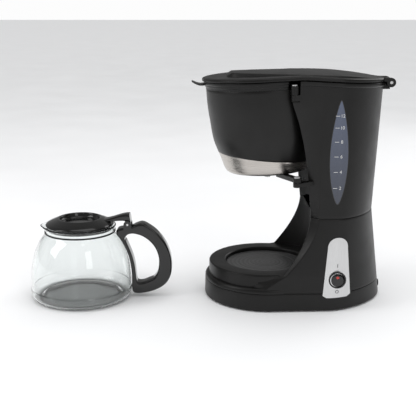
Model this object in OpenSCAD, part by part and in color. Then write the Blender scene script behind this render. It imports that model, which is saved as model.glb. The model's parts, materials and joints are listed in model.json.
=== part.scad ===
// Drip coffee maker with a swing-out brew basket and a glass carafe.
// +Z up, front towards -Y, water gauge and switch on the +X side, resting on z = 0.
// Lengths are millimetres and angles are degrees.

/* [Placement] */
// Distance of the hot plate's axis behind the middle of the set
axis_y = 80.4; // [70:0.1:90]
// Distance of the carafe's axis in front of the hot plate's axis
carafe_gap = 257; // [245:1:265]
// Sideways offset of the carafe
carafe_x = 14; // [0:1:15]

/* [Base] */
// Radius of the round front of the base
base_r = 85; // [84:0.5:86]
// Height of the lower skirt's rounded shoulder
skirt_h = 27; // [26:0.5:28]
// Radius of the upper tier round the hot plate
tier_r = 79; // [78:0.5:80]
// Height of the ring round the hot plate
ring_h = 49.5; // [49:0.5:51]
// Radius of the recess that takes the carafe
recess_r = 56; // [55:0.5:57]
// Depth of the recess down to the hot plate
recess_depth = 5; // [4:0.5:6]
// Wall thickness of the mouldings
wall = 2.5; // [2:0.5:3]
// Gap between the base's lower edge and the counter
rim_z = 2; // [1.5:0.5:2.5]

/* [Tower] */
// Height of the seam between the base housing and the tank housing
seam_h = 125; // [120:1:130]
// Height of the tower's top edge at the ridge
tower_h = 303; // [302:0.5:304]
// Distance of the ridge behind the hot plate's axis
ridge_y = 40; // [36:1:44]
// Slope of the top edge towards the back
rear_slope = 3.2; // [2.5:0.1:3.5]
// Radius of the hollow bay that the carafe and the basket stand in
bay_r = 82; // [81:0.5:83]

/* [Brew basket] */
// Forward lean of the basket
tilt = 3; // [2.5:0.1:3.5]
// Height of the basket's bottom
basket_z = 179; // [178:0.5:181]
// Radius of the basket's upper bead
bead_r = 80; // [79:0.5:80.5]
// Sideways place of the basket's hinge
pivot_x = 76.5; // [76:0.5:77]
// Distance of the basket's hinge behind the basket's axis
pivot_y = 33; // [32:0.5:34]
// Radius of the hinge pins
pin_r = 2.5; // [2:0.1:3]
// Radial clearance of a pin that turns
run = 0.06; // [0.03:0.01:0.09]

/* [Lid] */
// Thickness of the lid
lid_t = 3.4; // [3:0.1:4]
// Radius of the lid's front lobe
lid_r = 82.5; // [82:0.5:83]
// Distance of the lid's hinge behind the hot plate's axis
lid_pivot_y = 160; // [159:0.5:161]
// Height of the lid's hinge
lid_pivot_z = 296; // [295:0.5:297]

/* [Carafe] */
// Largest radius of the glass
glass_r = 70; // [68:0.5:71]
// Height of the glass
glass_h = 102; // [100:0.5:104]
// Thickness of the glass
glass_t = 2; // [1.8:0.1:2.4]
// Width of the handle
handle_w = 20; // [18:1:24]

/* [Hidden] */
$fn = 96;
rear_steps = 14;
big = 400;

// ---- helpers ----

function lerp(a, b, t) = a + (b - a) * t;

// Value at x of a list of [x, value] pairs, straight between them
function along(list, x, i = 0) =
    x <= list[0][0] ? list[0][1] :
    i >= len(list) - 1 ? list[len(list) - 1][1] :
    x <= list[i + 1][0]
        ? lerp(list[i][1], list[i + 1][1], (x - list[i][0]) / (list[i + 1][0] - list[i][0]))
        : along(list, x, i + 1);

// Points of a cubic Bezier curve from a to d, without its first point
function bezier(a, b, c, d, n = 8) = [for (i = [1 : n]) let (t = i / n, s = 1 - t)
    s * s * s * a + 3 * s * s * t * b + 3 * s * t * t * c + t * t * t * d];

// Points of an arc about c, radius r, from angle a0 to a1
function arc(c, r, a0, a1, n = 6) = [for (i = [0 : n]) let (a = lerp(a0, a1, i / n))
    [c[0] + r * cos(a), c[1] + r * sin(a)]];

// Closed solid through a stack of rings that all have the same number of points
module loft(rings) {
    n = len(rings[0]);
    m = len(rings);
    sides = [for (k = [0 : m - 2]) for (i = [0 : n - 1]) let (j = (i + 1) % n)
        each [[k * n + i, (k + 1) * n + i, (k + 1) * n + j], [k * n + i, (k + 1) * n + j, k * n + j]]];
    bottom = [[for (i = [0 : n - 1]) i]];
    top = [[for (i = [n - 1 : -1 : 0]) (m - 1) * n + i]];
    polyhedron(points = [for (ring = rings) each ring], faces = concat(bottom, sides, top));
}

// The space above z = h
module above(h) { translate([-big / 2, -big / 2, h]) cube(big); }

// Everything of the machine stands about the hot plate's axis
module machine() { translate([0, axis_y, 0]) children(); }

// The basket's own frame: its bottom centre, leaning forward
module leaning() { machine() translate([0, 0, basket_z]) rotate([tilt, 0, 0]) children(); }

module at_pivot() { leaning() translate([pivot_x, pivot_y, 0]) children(); }

module carafe_frame() { translate([carafe_x, axis_y - carafe_gap, 0]) children(); }

module tube(outer, inner, z0, z1) {
    translate([0, 0, z0]) difference() {
        cylinder(r = outer, h = z1 - z0);
        translate([0, 0, -1]) cylinder(r = inner, h = z1 - z0 + 2);
    }
}

// ---- plan outline of the tower at height z, moved inwards by w ----

sweep = 1.7;
function rise(z) = 1 - pow(1 - (z - ring_h) / (seam_h - ring_h), sweep);
function edge_y(z) =
    z < ring_h ? 18 - 1.5 * (ring_h - z) :
    z < seam_h ? 18 + 35 * rise(z) :
    along([[seam_h, 53], [170, 48.5], [216, 41.5], [250, 33], [276.5, 24], [310, 20]], z);
function corner_y(z) = z < ring_h ? 22 - 1.5 * (ring_h - z) : z < seam_h ? 22 + 41 * rise(z) : 63;
function corner_x(z) = along([[0, 84], [skirt_h, 83.4], [ring_h, 82.3], [seam_h, 74], [310, 77.2]], z);
function side_x(z) = along([[0, 81], [skirt_h, 80.2], [seam_h, 74], [310, 78]], z);
function side_y(z) = along([[0, 77], [seam_h, 88], [310, 84]], z);
function rear_y(z) = along([[0, 160.5], [seam_h, 145], [310, 153.8]], z);
function edge_x(z) = sqrt(max(0, bay_r * bay_r - pow(edge_y(z), 2)));

// The wing's front facet, carried on past its edge so that the bay's cylinder trims it
function facet(z, w) = let (
    c = [corner_x(z) - w, corner_y(z) + 0.4 * w],
    a = [edge_x(z) - 0.6 * w, edge_y(z) + w])
    [a + 8 * (a - c) / norm(a - c), c];

function rear_half(z, w) = [for (i = [0 : rear_steps]) let (a = 90 * i / rear_steps, p = 2 / 1.6)
    [(side_x(z) - w) * pow(cos(a), p), side_y(z) + (rear_y(z) - w - side_y(z)) * pow(sin(a), p)]];
function mirrored(pts) = [for (i = [len(pts) - 1 : -1 : 0]) [-pts[i][0], pts[i][1]]];
function tower_half(z, w) = concat(facet(z, w), rear_half(z, w));
function skirt_half(z, w) = concat(
    arc([0, 0], base_r - 0.4 * z / skirt_h - w, -90, -2, 14), rear_half(z, w));

// Where the line from c to a, carried on, meets the circle of radius r about the hot plate's axis
function meet(a, c, r) = let (d = c - a, k = a * d / (d * d))
    a + d * (sqrt(k * k - (a * a - r * r) / (d * d)) - k);

// U-shaped outline of the tank's part of the tower, round a bay of radius r
bay_steps = 24;
function u_outline(z, w, r) = let (
    c = [corner_x(z) - w, corner_y(z) + 0.4 * w],
    p = meet([edge_x(z) - 0.6 * w, edge_y(z) + w], c, r),
    turn = atan2(p[1], p[0]))
    concat(closed(concat([p, c], rear_half(z, w))),
        [for (i = [1 : bay_steps - 1]) let (t = lerp(180 - turn, turn, i / bay_steps))
            [r * cos(t), r * sin(t)]]);
function closed(half) = concat(half, mirrored([for (i = [0 : len(half) - 2]) half[i]]));

// Drop of the top edge in front of and behind the ridge
function roof(y) = y < ridge_y ? (y - ridge_y) * tan(tilt) : (ridge_y - y) * tan(rear_slope);
function ring_at(outline, z) = [for (p = outline) [p[0], p[1], z]];
function roof_ring(outline, z) = [for (p = outline) [p[0], p[1], z + roof(p[1])]];

module tower_solid(z0, z1, w = 0) {
    steps = max(2, ceil((z1 - z0) / 12));
    loft([for (i = [0 : steps]) let (z = lerp(z0, z1, i / steps)) ring_at(closed(tower_half(z, w)), z)]);
}

module skirt_solid(z0, z1, w = 0) {
    half0 = skirt_half(z0, w);
    half1 = skirt_half(z1, w);
    full0 = concat(half0, mirrored([for (i = [1 : len(half0) - 2]) half0[i]]));
    full1 = concat(half1, mirrored([for (i = [1 : len(half1) - 2]) half1[i]]));
    loft([ring_at(full0, z0), ring_at(full1, z1)]);
}

// ---- base ----

plate_z = ring_h - recess_depth;
ledge_r = 51.8;
screw_places = [[-66, 8, 48], [66, 8, 48], [-74.2, 84, 28], [74.2, 84, 28], [0, -66, 48]];
screw_r = 1.45;

shoulder_r = base_r - 1.1;
module tier_solid() {
    rotate_extrude() polygon(concat(
        [[0, 20], [shoulder_r, 20]],
        [for (a = [0 : 15 : 90]) [lerp(tier_r + 0.6, shoulder_r, cos(a)), skirt_h + 5.5 * sin(a)]],
        [[tier_r, ring_h - 2]], arc([tier_r - 2, ring_h - 2], 2, 30, 90, 3), [[0, ring_h]]));
}

module base_outer() {
    skirt_solid(rim_z, skirt_h);
    tier_solid();
    difference() {
        tower_solid(skirt_h, seam_h);
        translate([0, 0, ring_h]) cylinder(r = bay_r, h = big);
    }
}

module base_hollow() {
    skirt_solid(rim_z - 1, skirt_h - wall, wall);
    rotate_extrude() polygon([[0, 20], [tier_r - wall, 20], [tier_r - wall, ring_h - wall],
        [recess_r + wall, ring_h - wall], [recess_r + wall, plate_z - 2.7], [0, plate_z - 2.7]]);
    difference() {
        tower_solid(skirt_h - wall, seam_h + 1, wall);
        cylinder(r = recess_r + wall, h = ring_h - wall);
        translate([0, 0, ring_h - wall]) cylinder(r = bay_r + wall, h = big);
    }
    translate([0, 0, plate_z - 1.2]) cylinder(r = recess_r, h = big / 4);
    translate([0, 0, 30]) cylinder(r = ledge_r, h = big / 4);
    translate([0, 0, ring_h - 1.4]) cylinder(r1 = recess_r, r2 = recess_r + 1.6, h = 1.41);
}

module base_housing() color([0.045, 0.045, 0.05]) machine() {
    difference() {
        base_outer();
        base_hollow();
        translate([64, switch_y, switch_z]) rotate([0, 90, 0]) cylinder(r = switch_hole_r, h = 30);
        translate([0, 150, gland_z]) rotate([-90, 0, 0]) cylinder(r = 5, h = 20);
    }
    for (p = screw_places) translate([p[0], p[1], 0]) tube(4, screw_r + 0.05, rim_z + 3, p[2]);
}

module bottom_plate() color([0.05, 0.05, 0.055]) machine() difference() {
    skirt_solid(rim_z + 1, rim_z + 3, wall + 0.3);
    for (p = screw_places) translate([p[0], p[1], 0]) cylinder(r = screw_r + 0.2, h = 20);
    for (i = [-3 : 3]) translate([14 * i, 66, 0]) vent_slot(3, 26);
}

// Vent slot, rounded at both ends
module vent_slot(w, l) {
    translate([0, -l / 2, 0]) cylinder(d = w, h = 20);
    translate([0, l / 2, 0]) cylinder(d = w, h = 20);
    translate([-w / 2, -l / 2, 0]) cube([w, l, 20]);
}

module rubber_feet() color([0.08, 0.08, 0.08]) machine()
    for (p = [[-52, -44], [52, -44], [-56, 92], [56, 92]]) translate([p[0], p[1], 0])
        rotate_extrude() polygon([[0, 0], [7, 0], [8, 1], [8, rim_z + 1], [0, rim_z + 1]]);

module screw(head_r, length) {
    translate([0, 0, -1.5]) difference() {
        cylinder(r = head_r, h = 1.5);
        translate([0, 0, -1]) cylinder(r = 1.3, h = 2, $fn = 6);
    }
    cylinder(r = screw_r, h = length);
}

module bottom_screws() color([0.5, 0.5, 0.52]) machine()
    for (p = screw_places) translate([p[0], p[1], rim_z + 1]) screw(3, 16);

module hot_plate() color([0.2, 0.2, 0.21]) machine() rotate_extrude() polygon(concat(
    [[0, plate_z - 1.2], [49.6, plate_z - 1.2], [49.6, plate_z - 5], [51, plate_z - 5],
     [51, plate_z - 1.2], [recess_r - 0.4, plate_z - 1.2]],
    arc([recess_r - 1, plate_z - 0.6], 0.6, 0, 90, 3), [[0, plate_z]]));

// ---- water path and heater under the hot plate ----

heater_r = 30;
heater_z = 33;
water_z = 25;
module bent(r, z, open = 50) {
    translate([0, 0, z]) rotate([0, 0, 90 + open / 2]) rotate_extrude(angle = 360 - open)
        translate([heater_r, 0]) circle(r = r, $fn = 32);
}

// Ends of the heater's two tubes point to the back
function tube_end(side, open = 50) = [side * heater_r * sin(open / 2), heater_r * cos(open / 2)];

module heater_casting() color([0.72, 0.73, 0.74]) machine() {
    difference() {
        union() {
            difference() {
                translate([0, 0, 36]) cylinder(r = 42, h = plate_z - 1.2 - 36);
                translate([0, 0, 35]) cylinder(r = 18, h = 20);
            }
            bent(5.5, heater_z);
            bent(5.5, water_z, 60);
        }
        bent(3.6, water_z, 59);
        for (s = [-1, 1]) translate([s * 39, -12, 0]) cylinder(r = 1.2, h = 42);
    }
    for (s = [-1, 1]) translate([tube_end(s, 60)[0], tube_end(s, 60)[1], water_z]) rotate([-90, 0, 0])
        tube(5.2, 3.6, -3, 12);
}

module heater_strap() color([0.75, 0.75, 0.77]) machine() {
    difference() {
        translate([-44, -18, 18.1]) cube([88, 12, 1.4]);
        for (s = [-1, 1]) translate([s * 39, -12, 15]) cylinder(r = 1.4, h = 6);
    }
    for (s = [-1, 1]) translate([s * 39, -12, 16.6]) {
        cylinder(r = 2.8, h = 1.5);
        cylinder(r = 1.15, h = 24);
    }
}

module thermostat() color([0.1, 0.1, 0.1]) machine() {
    translate([0, 0, 27]) cylinder(r = 8.2, h = plate_z - 1.2 - 27);
    for (s = [-1, 1]) translate([s * 5 - 3.1, -0.4, 20]) cube([6.2, 0.8, 7.1]);
}

module thermal_fuses() color([0.85, 0.84, 0.8]) machine()
    for (s = [-1, 1]) translate([0, s * 20.9, 33.3]) rotate([0, 90, 0]) {
        cylinder(r = 2.6, h = 15, center = true);
        cylinder(r = 0.6, h = 20, center = true);
    }

outlet_x = -20;
riser_y = 97;
tank_floor = seam_h + wall;
module check_valve() color([0.9, 0.9, 0.88]) machine() translate([outlet_x, 114, 0]) rotate_extrude()
    polygon([[1.6, 84], [5.1, 84], [5.1, 92], [6, 94], [6, 102], [3.4, 103.8], [3.4, 129.4], [1.6, 129.4]]);

// Rings of radius r across a path that never runs along X
hose_sides = 20;
function across(path, r) = [for (i = [0 : len(path) - 1]) let (
    ahead = path[min(i + 1, len(path) - 1)] - path[max(i - 1, 0)],
    u = cross(ahead, [1, 0, 0]) / norm(cross(ahead, [1, 0, 0])),
    v = cross(ahead, u) / norm(ahead))
    [for (k = [0 : hose_sides - 1]) let (a = 360 * k / hose_sides) path[i] + r * (cos(a) * u + sin(a) * v)]];

// Hose from a to d: it leaves a along Y, reaches d upwards, and bends between
module hose(a, d) {
    b = a + [0, 15, 0];
    c = d - [0, 0, 13];
    path = concat([a, b], bezier(b, [a[0], d[1] - 14, a[2]], [d[0], d[1], a[2] + 12], c), [d]);
    outer = across(path, hose_r);
    bore = across(path, 5.3 / cos(180 / hose_sides));
    n = hose_sides;
    m = len(path);
    polyhedron(
        points = concat([for (ring = outer) each ring], [for (ring = bore) each ring]),
        faces = concat(
            [for (k = [0 : m - 2]) for (i = [0 : n - 1]) let (j = (i + 1) % n, o = k * n, w = (m + k) * n)
                each [[o + i, o + n + i, o + n + j], [o + i, o + n + j, o + j],
                    [w + i, w + n + j, w + n + i], [w + i, w + j, w + n + j]]],
            [for (i = [0 : n - 1]) let (j = (i + 1) % n, o = (m - 1) * n, w = (2 * m - 1) * n)
                each [[i, j, m * n + j], [i, m * n + j, m * n + i],
                    [o + i, w + i, w + j], [o + i, w + j, o + j]]]));
}

hose_r = 7.2;
inlet_end = concat(tube_end(-1, 60), [water_z]);
outlet_end = concat(tube_end(1, 60), [water_z]);
module inlet_hose() color([0.85, 0.86, 0.86]) machine() hose(inlet_end + [0, 5, 0], [outlet_x, 114, 91]);

module outlet_hose() color([0.85, 0.86, 0.86]) machine() hose(outlet_end + [0, 5, 0], [0, riser_y, 84]);

module hose_clips() color([0.6, 0.6, 0.62]) machine() {
    for (p = [inlet_end, outlet_end]) translate(p + [0, 7, 0]) rotate([-90, 0, 0]) tube(8, 7.25, 0, 5);
    translate([outlet_x, 114, 0]) tube(8, 7.25, 84, 88);
    translate([0, riser_y, 0]) tube(8, 7.25, 77, 81);
}

module terminal_block() color([0.92, 0.92, 0.9]) machine() difference() {
    translate([-16, 126, rim_z + 3]) cube([32, 12, 10]);
    for (i = [-1 : 1]) {
        translate([10 * i, 132, rim_z + 8]) rotate([90, 0, 0]) cylinder(r = 2, h = 30, center = true);
        translate([10 * i, 132, rim_z + 8]) cylinder(r = 2.2, h = 20);
    }
}

gland_z = 14;
module cord_gland() color([0.06, 0.06, 0.06]) machine() translate([0, 0, gland_z]) rotate([-90, 0, 0])
    difference() {
        union() {
            translate([0, 0, 153.6]) cylinder(r = 4.9, h = 6);
            translate([0, 0, 149]) cylinder(r = 6.5, h = 7);
        }
        translate([0, 0, 140]) cylinder(r = 3.2, h = 40);
        skirt_cut();
    }

// The base housing's rear wall, in the gland's own frame
module skirt_cut() {
    rotate([90, 0, 0]) translate([0, 0, -gland_z]) difference() {
        skirt_solid(rim_z, skirt_h, 0);
        skirt_solid(rim_z - 1, skirt_h + 1, wall);
        translate([0, 140, gland_z]) rotate([-90, 0, 0]) cylinder(r = 5, h = 40);
    }
}

// ---- tank housing, tank and gauge ----

gauge_y = 86;
gauge_z0 = 145;
gauge_z1 = 278;
gauge_w = 11.6;
function leaf_half(d) = [for (i = [0 : 16]) let (t = i / 16)
    [(gauge_w - d) * pow(sin(180 * pow(t, 0.86)), 0.75), lerp(gauge_z0 + 2 * d, gauge_z1 - 3 * d, t)]];
module leaf(d) {
    translate([50, gauge_y, 0]) rotate([90, 0, 90]) linear_extrude(60)
        polygon(concat(leaf_half(d), mirrored([for (i = [1 : 15]) leaf_half(d)[i]])));
}

module roof_cut(h) {
    translate([0, ridge_y, h]) rotate([tilt, 0, 0]) translate([-big / 2, -big, 0]) cube([big, big, big]);
    translate([0, ridge_y, h]) rotate([-rear_slope, 0, 0]) translate([-big / 2, 0, 0]) cube([big, big, big]);
}

bead_h = 6;
shoulder = 285;
bead = [[0, -bead_h], [-1.2, -bead_h + 0.8], [-1.7, -bead_h / 2], [-1.2, -0.8], [-0.6, 0]];
function tower_rings(z0, z1, w, r) = let (steps = ceil(abs(z1 - z0) / 12))
    [for (i = [0 : steps]) let (z = lerp(z0, z1, i / steps)) ring_at(u_outline(z, w, r), z)];
function shell_rings() = concat(
    tower_rings(seam_h, shoulder, 0, bay_r),
    [for (q = bead) roof_ring(u_outline(tower_h - 3, q[0], bay_r), tower_h + q[1])]);

module tank_housing() color([0.04, 0.04, 0.045]) machine() difference() {
    loft(concat(
        shell_rings(),
        [roof_ring(u_outline(tower_h - 3, wall, bay_r + wall), tower_h)],
        tower_rings(shoulder, seam_h + wall, wall, bay_r + wall)));
    leaf(0);
    translate([outlet_x, 114, 120]) cylinder(r = 7, h = 10);
    translate([0, riser_y, 120]) cylinder(r = 5, h = 10);
    translate([-9, 60, 295.4]) cube([18, 40, 20]);
    translate([68, 0, 276.5]) cube([22, 34, 40]);
}

tank_gap = wall + 0.6;
tank_in = tank_gap + 1.8;
tank_top = 288;
module water_tank() color([0.3, 0.32, 0.36, 0.6]) machine() difference() {
    loft(concat(
        tower_rings(tank_floor + 0.1, tank_top, tank_gap, bay_r + tank_gap),
        tower_rings(tank_top, tank_floor + 2, tank_in, bay_r + tank_in)));
    translate([outlet_x, 114, 60]) cylinder(r = 3.5, h = 80);
    translate([0, riser_y, 100]) cylinder(r = 4.2, h = 60);
}

module gauge_window() color([0.23, 0.26, 0.35, 0.7]) machine() intersection() {
    leaf(0.02);
    difference() {
        tower_solid(140, 284, 0.5);
        tower_solid(130, 290, wall - 0.1);
    }
}

module riser_tube() color([0.85, 0.86, 0.86]) machine() translate([0, riser_y, 0]) difference() {
    union() {
        cylinder(r = 4, h = 294);
        tube(5.1, 3, 66, 78);
    }
    translate([0, 0, -1]) cylinder(r = 2.8, h = 320);
    translate([0, 0, -1]) cylinder(r = 10, h = 65);
}

// Flat arm that carries the hot water from the riser to the shower head over the basket
module spout_arm() color([0.06, 0.06, 0.065]) machine() difference() {
    union() {
        translate([-8, 0, 296]) cube([16, riser_y, 4]);
        translate([0, riser_y, 296]) cylinder(r = 8, h = 4);
        translate([0, riser_y, 288.2]) cylinder(r = 6.4, h = 8);
        translate([0, 0, 295.2]) cylinder(r = 22, h = 4.8);
    }
    translate([-5.5, -2, 297.2]) cube([11, riser_y, 1.6]);
    translate([0, 0, 296.4]) cylinder(r = 20, h = 2.4);
    translate([0, riser_y, 280]) cylinder(r = 4.05, h = 14);
    translate([0, riser_y, 293]) cylinder(r = 2.8, h = 5);
    for (ring = [[0, 1], [8, 6], [15, 10]]) for (i = [0 : ring[1] - 1]) rotate([0, 0, 360 * i / ring[1]])
        translate([ring[0], 0, 290]) cylinder(r = 1, h = 8, $fn = 16);
}

// ---- switch ----

switch_y = 89;
switch_z = 44;
switch_hole_r = 10.2;
plate_low = 20.5;
plate_high = 100.5;
switch_face = 79.6;
bezel_r = 11.6;

// Distance of the tower's side from the middle plane, at y and z
function side_at(y, z) = y < side_y(z)
    ? lerp(corner_x(z), side_x(z), (y - corner_y(z)) / (side_y(z) - corner_y(z)))
    : side_x(z) * pow(cos(asin(pow((y - side_y(z)) / (rear_y(z) - side_y(z)), 0.8))), 1.25);

// Plate with an arched top that follows the tower's side: rows of [height, half width]
arch_r = 13.6;
arch_z = plate_high - arch_r;
plate_columns = 8;
plate_rows = concat(
    [for (z = [plate_low, skirt_h, 38, 50, 62, 74, arch_z])
        [z, lerp(19.2, arch_r, (z - plate_low) / (arch_z - plate_low))]],
    [for (a = [12 : 14 : 82]) [arch_z + arch_r * sin(a), arch_r * cos(a)]]);
function plate_line(row, proud) = [for (k = [0 : plate_columns])
    let (z = row[0], y = switch_y + row[1] * (2 * k / plate_columns - 1)) [side_at(y, z) + proud, y, z]];
function plate_ring(row) = let (
    front = plate_line(row, 1.1),
    back = plate_line(row, row[0] > skirt_h ? 0.1 : 0.25))
    concat(front, [for (k = [plate_columns : -1 : 0]) back[k]]);

module switch_plate() color([0.75, 0.75, 0.76]) machine() difference() {
    loft([for (row = plate_rows) plate_ring(row)]);
    translate([60, switch_y, switch_z]) rotate([0, 90, 0]) cylinder(r = bezel_r + 0.15, h = 40);
}

module switch_body() color([0.05, 0.05, 0.05]) machine() translate([switch_face, switch_y, switch_z])
    rotate([0, 90, 0]) difference() {
        union() {
            translate([0, 0, -18]) cylinder(r = switch_hole_r - 0.2, h = 18.4);
            translate([0, 0, 0.4]) cylinder(r1 = bezel_r, r2 = bezel_r - 1, h = 1.6);
            for (x = [-5, 5]) translate([x - 0.4, -3.1, -26]) cube([0.8, 6.2, 9]);
        }
        translate([0, 0, -9]) cylinder(r = 9.5, h = 20);
    }

rocker_rest = 7;
module rocker_frame() {
    machine() translate([switch_face - 5, switch_y, switch_z]) rotate([0, rocker_rest, 0]) children();
}

// The two faces of the rocker meet in a shallow valley
module rocker_faces() {
    for (s = [-1, 1]) translate([6.4, 0, 0]) rotate([0, s * 7, 0])
        translate([0, -15, s > 0 ? 0 : -15]) cube([10, 30, 15]);
}

module rocker() color([0.12, 0.12, 0.125]) rocker_frame() difference() {
    rotate([0, 90, 0]) translate([0, 0, 1.4]) cylinder(r = 8.2, h = 6.8);
    rocker_faces();
    translate([5.4, 0, 4.6]) rotate([0, 90, 0]) cylinder(r = 2, h = 10);
}

module rocker_lens() color([0.8, 0.08, 0.05]) rocker_frame() difference() {
    translate([5.4, 0, 4.6]) rotate([0, 90, 0]) cylinder(r = 1.98, h = 3);
    rocker_faces();
}

// ---- hinge parts on the tower ----

module pin(r, z0, z1, head_r, head_h) {
    translate([0, 0, z0]) cylinder(r = r, h = z1 - z0);
    translate([0, 0, z1]) cylinder(r = head_r, h = head_h);
}

// Flat arm with a round end of radius r about the pivot, reaching back by l and there w wide
module hinge_arm(r, w, l, h) {
    linear_extrude(h) polygon(concat(arc([0, 0], r, 180, 360, 12), [[w / 2, l], [-w / 2, l]]));
}

module upper_bracket() color([0.04, 0.04, 0.045]) difference() {
    at_pivot() translate([0, 0, 97]) hinge_arm(5, 4.8, 20, 7.6);
    at_pivot() translate([0, 0, 90]) cylinder(r = pin_r, h = 30);
    machine() translate([50, 34, 200]) cube([60, 60, 200]);
}

module upper_hinge_pin() color([0.6, 0.6, 0.62]) at_pivot() pin(pin_r, 97.4, 116.3, 4, 1.4);

module lower_bracket() color([0.04, 0.04, 0.045]) difference() {
    at_pivot() rotate([0, 0, 12]) translate([0, 0, -13]) hinge_arm(5.5, 9, 34, 6);
    at_pivot() translate([0, 0, -20]) cylinder(r = pin_r, h = 30);
    machine() tower_solid(150, 190, -0.3);
}

module lower_hinge_pin() color([0.6, 0.6, 0.62]) at_pivot() pin(pin_r, -12.6, -0.7, 4, 1.4);

lid_lug_w = 11.6;
lid_ear_w = 20.4;
module lid_bracket() color([0.04, 0.04, 0.045]) machine() difference() {
    union() {
        translate([-lid_lug_w, lid_pivot_y, lid_pivot_z]) rotate([0, 90, 0])
            cylinder(r = 5.2, h = 2 * lid_lug_w);
        translate([-lid_lug_w, 146, lid_pivot_z - 9]) cube([2 * lid_lug_w, 14, 8]);
    }
    translate([-30, lid_pivot_y, lid_pivot_z]) rotate([0, 90, 0]) cylinder(r = 2, h = 60);
    loft(shell_rings());
}

module lid_hinge_pin() color([0.6, 0.6, 0.62]) machine()
    translate([-lid_ear_w - 0.2, lid_pivot_y, lid_pivot_z]) rotate([0, 90, 0])
        cylinder(r = 2, h = 2 * lid_ear_w + 0.4);

// ---- lid ----

lid_h0 = 122.6;
lid_low = basket_z + lid_h0 * cos(tilt) + ridge_y * tan(tilt) + lid_h0 * sin(tilt) * tan(tilt);
module lid_plan() {
    translate([0, -lid_h0 * sin(tilt)]) circle(r = lid_r);
    polygon(closed(tower_half(tower_h, -2.2)));
}

// The lid's plan as a plate from h0 to h1 above the lid's lower face, bent along the ridge
module lid_slab(h0, h1) {
    translate([0, ridge_y, lid_low]) {
        rotate([tilt, 0, 0]) translate([0, 0, h0]) linear_extrude(h1 - h0) intersection() {
            translate([0, -ridge_y]) lid_plan();
            translate([-100, -200]) square([200, 200.3]);
        }
        rotate([-rear_slope, 0, 0]) translate([0, 0, h0]) linear_extrude(h1 - h0) intersection() {
            translate([0, -ridge_y]) lid_plan();
            translate([-100, -0.3]) square([200, 200]);
        }
    }
}

module lid() color([0.05, 0.05, 0.055]) machine() difference() {
    union() {
        lid_slab(0, lid_t);
        for (s = [-1, 1]) translate([s * (lid_lug_w + lid_ear_w) / 2, 0, 0]) {
            translate([-(lid_ear_w - lid_lug_w) / 2 + 0.3, lid_pivot_y, lid_pivot_z]) rotate([0, 90, 0])
                cylinder(r = 6.2, h = lid_ear_w - lid_lug_w - 0.6);
            translate([-(lid_ear_w - lid_lug_w) / 2 + 0.3, 148, lid_pivot_z + 2.4])
                cube([lid_ear_w - lid_lug_w - 0.6, 13, 3.8]);
        }
    }
    translate([-30, lid_pivot_y, lid_pivot_z]) rotate([0, 90, 0]) cylinder(r = 2 + run, h = 60);
    lid_clearance();
}

// Room for the tower's rear wall and lug under the lid's hinge ears
module lid_clearance() {
    difference() {
        tower_solid(270, tower_h + 2, -2.2);
        roof_cut(lid_low);
    }
    translate([-lid_lug_w - 0.3, lid_pivot_y, lid_pivot_z]) rotate([0, 90, 0])
        cylinder(r = 5.8, h = 2 * lid_lug_w + 0.6);
}

// Raised panel: [y, half width, height of its top] from front to back
panel_stations = [[-53, 33, 309.6], [-20, 36, 309.5], [33, 43, 309.3], [ridge_y, 45.2, 309.25],
    [57, 52, 309], [82, 58, 307.7], [110, 56, 305.2], [134, 36, 302.6]];
function lid_top(y) = lid_low + lid_t / cos(tilt) + roof(y);
function panel_ring(s) = let (w = s[1], y = s[0], low = lid_top(y) + 0.02, high = max(s[2], low + 0.4))
    [[-w, y, low], [-w + 2.2, y, high], [w - 2.2, y, high], [w, y, low]];
module lid_panel() color([0.05, 0.05, 0.055]) machine()
    loft([for (s = panel_stations) panel_ring(s)]);

// ---- brew basket, in its own leaning frame ----

wall_points = [[55.3, 0], [58.3, 5.4], [61.9, 16.6], [66.2, 28], [71.3, 44], [74.3, 66], [76.8, 88],
    [77.8, 111.5]];
function offset_wall(d) = [for (p = wall_points) [p[0] - d, p[1]]];
basket_wall = 2.4;
band_t = 0.8;
module wall_solid(d, low) {
    rotate_extrude() polygon(concat([[0, low], [wall_points[0][0] - d - 0.6, low]],
        [for (p = offset_wall(d)) [p[0], max(p[1], low + 0.5)]], [[0, wall_points[7][1]]]));
}

// The space below the steel band's slanting top edge
module under_band(shift = 0) {
    translate([0, 0, 19 + shift]) rotate([-7.3, 0, 0]) translate([-150, -150, -60]) cube([300, 300, 60]);
}

module steel_band() color([0.72, 0.72, 0.7]) leaning() intersection() {
    difference() {
        wall_solid(0, 0);
        wall_solid(band_t, -1);
    }
    under_band();
}

module basket() color([0.04, 0.04, 0.045]) difference() {
    leaning() union() {
        difference() {
            wall_solid(0, -0.8);
            difference() {
                intersection() {
                    wall_solid(-2, 0);
                    under_band(0.15);
                }
                wall_solid(band_t, -2);
            }
            translate([0, 0, 0]) wall_hollow();
        }
        translate([0, 0, -5]) cylinder(r = 9, h = 6);
    }
    leaning() translate([0, 0, -10]) cylinder(r = 5 + run, h = 20);
}

module wall_hollow() {
    rotate_extrude() polygon(concat([[0, 2.4], [wall_points[0][0] - basket_wall, 2.4]],
        [for (i = [1 : 7]) [wall_points[i][0] - basket_wall, wall_points[i][1] + (i == 7 ? 1 : 0)]],
        [[0, 112.5]]));
}

rim_low = 111.5;
rim_high = 122;
module basket_rim() color([0.045, 0.045, 0.05]) leaning() difference() {
    union() {
        rotate_extrude() polygon(concat([[75, rim_low], [77.8, rim_low], [77.8, 114.8], [78.9, 115.2],
            [78.9, 118.2], [bead_r, 118.6]], arc([bead_r - 1, rim_high - 1], 1, 0, 90, 3), [[75, rim_high]]));
        pull_tab();
    }
    translate([-100, 26, 100]) cube([200, 100, 40]);
}

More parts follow.
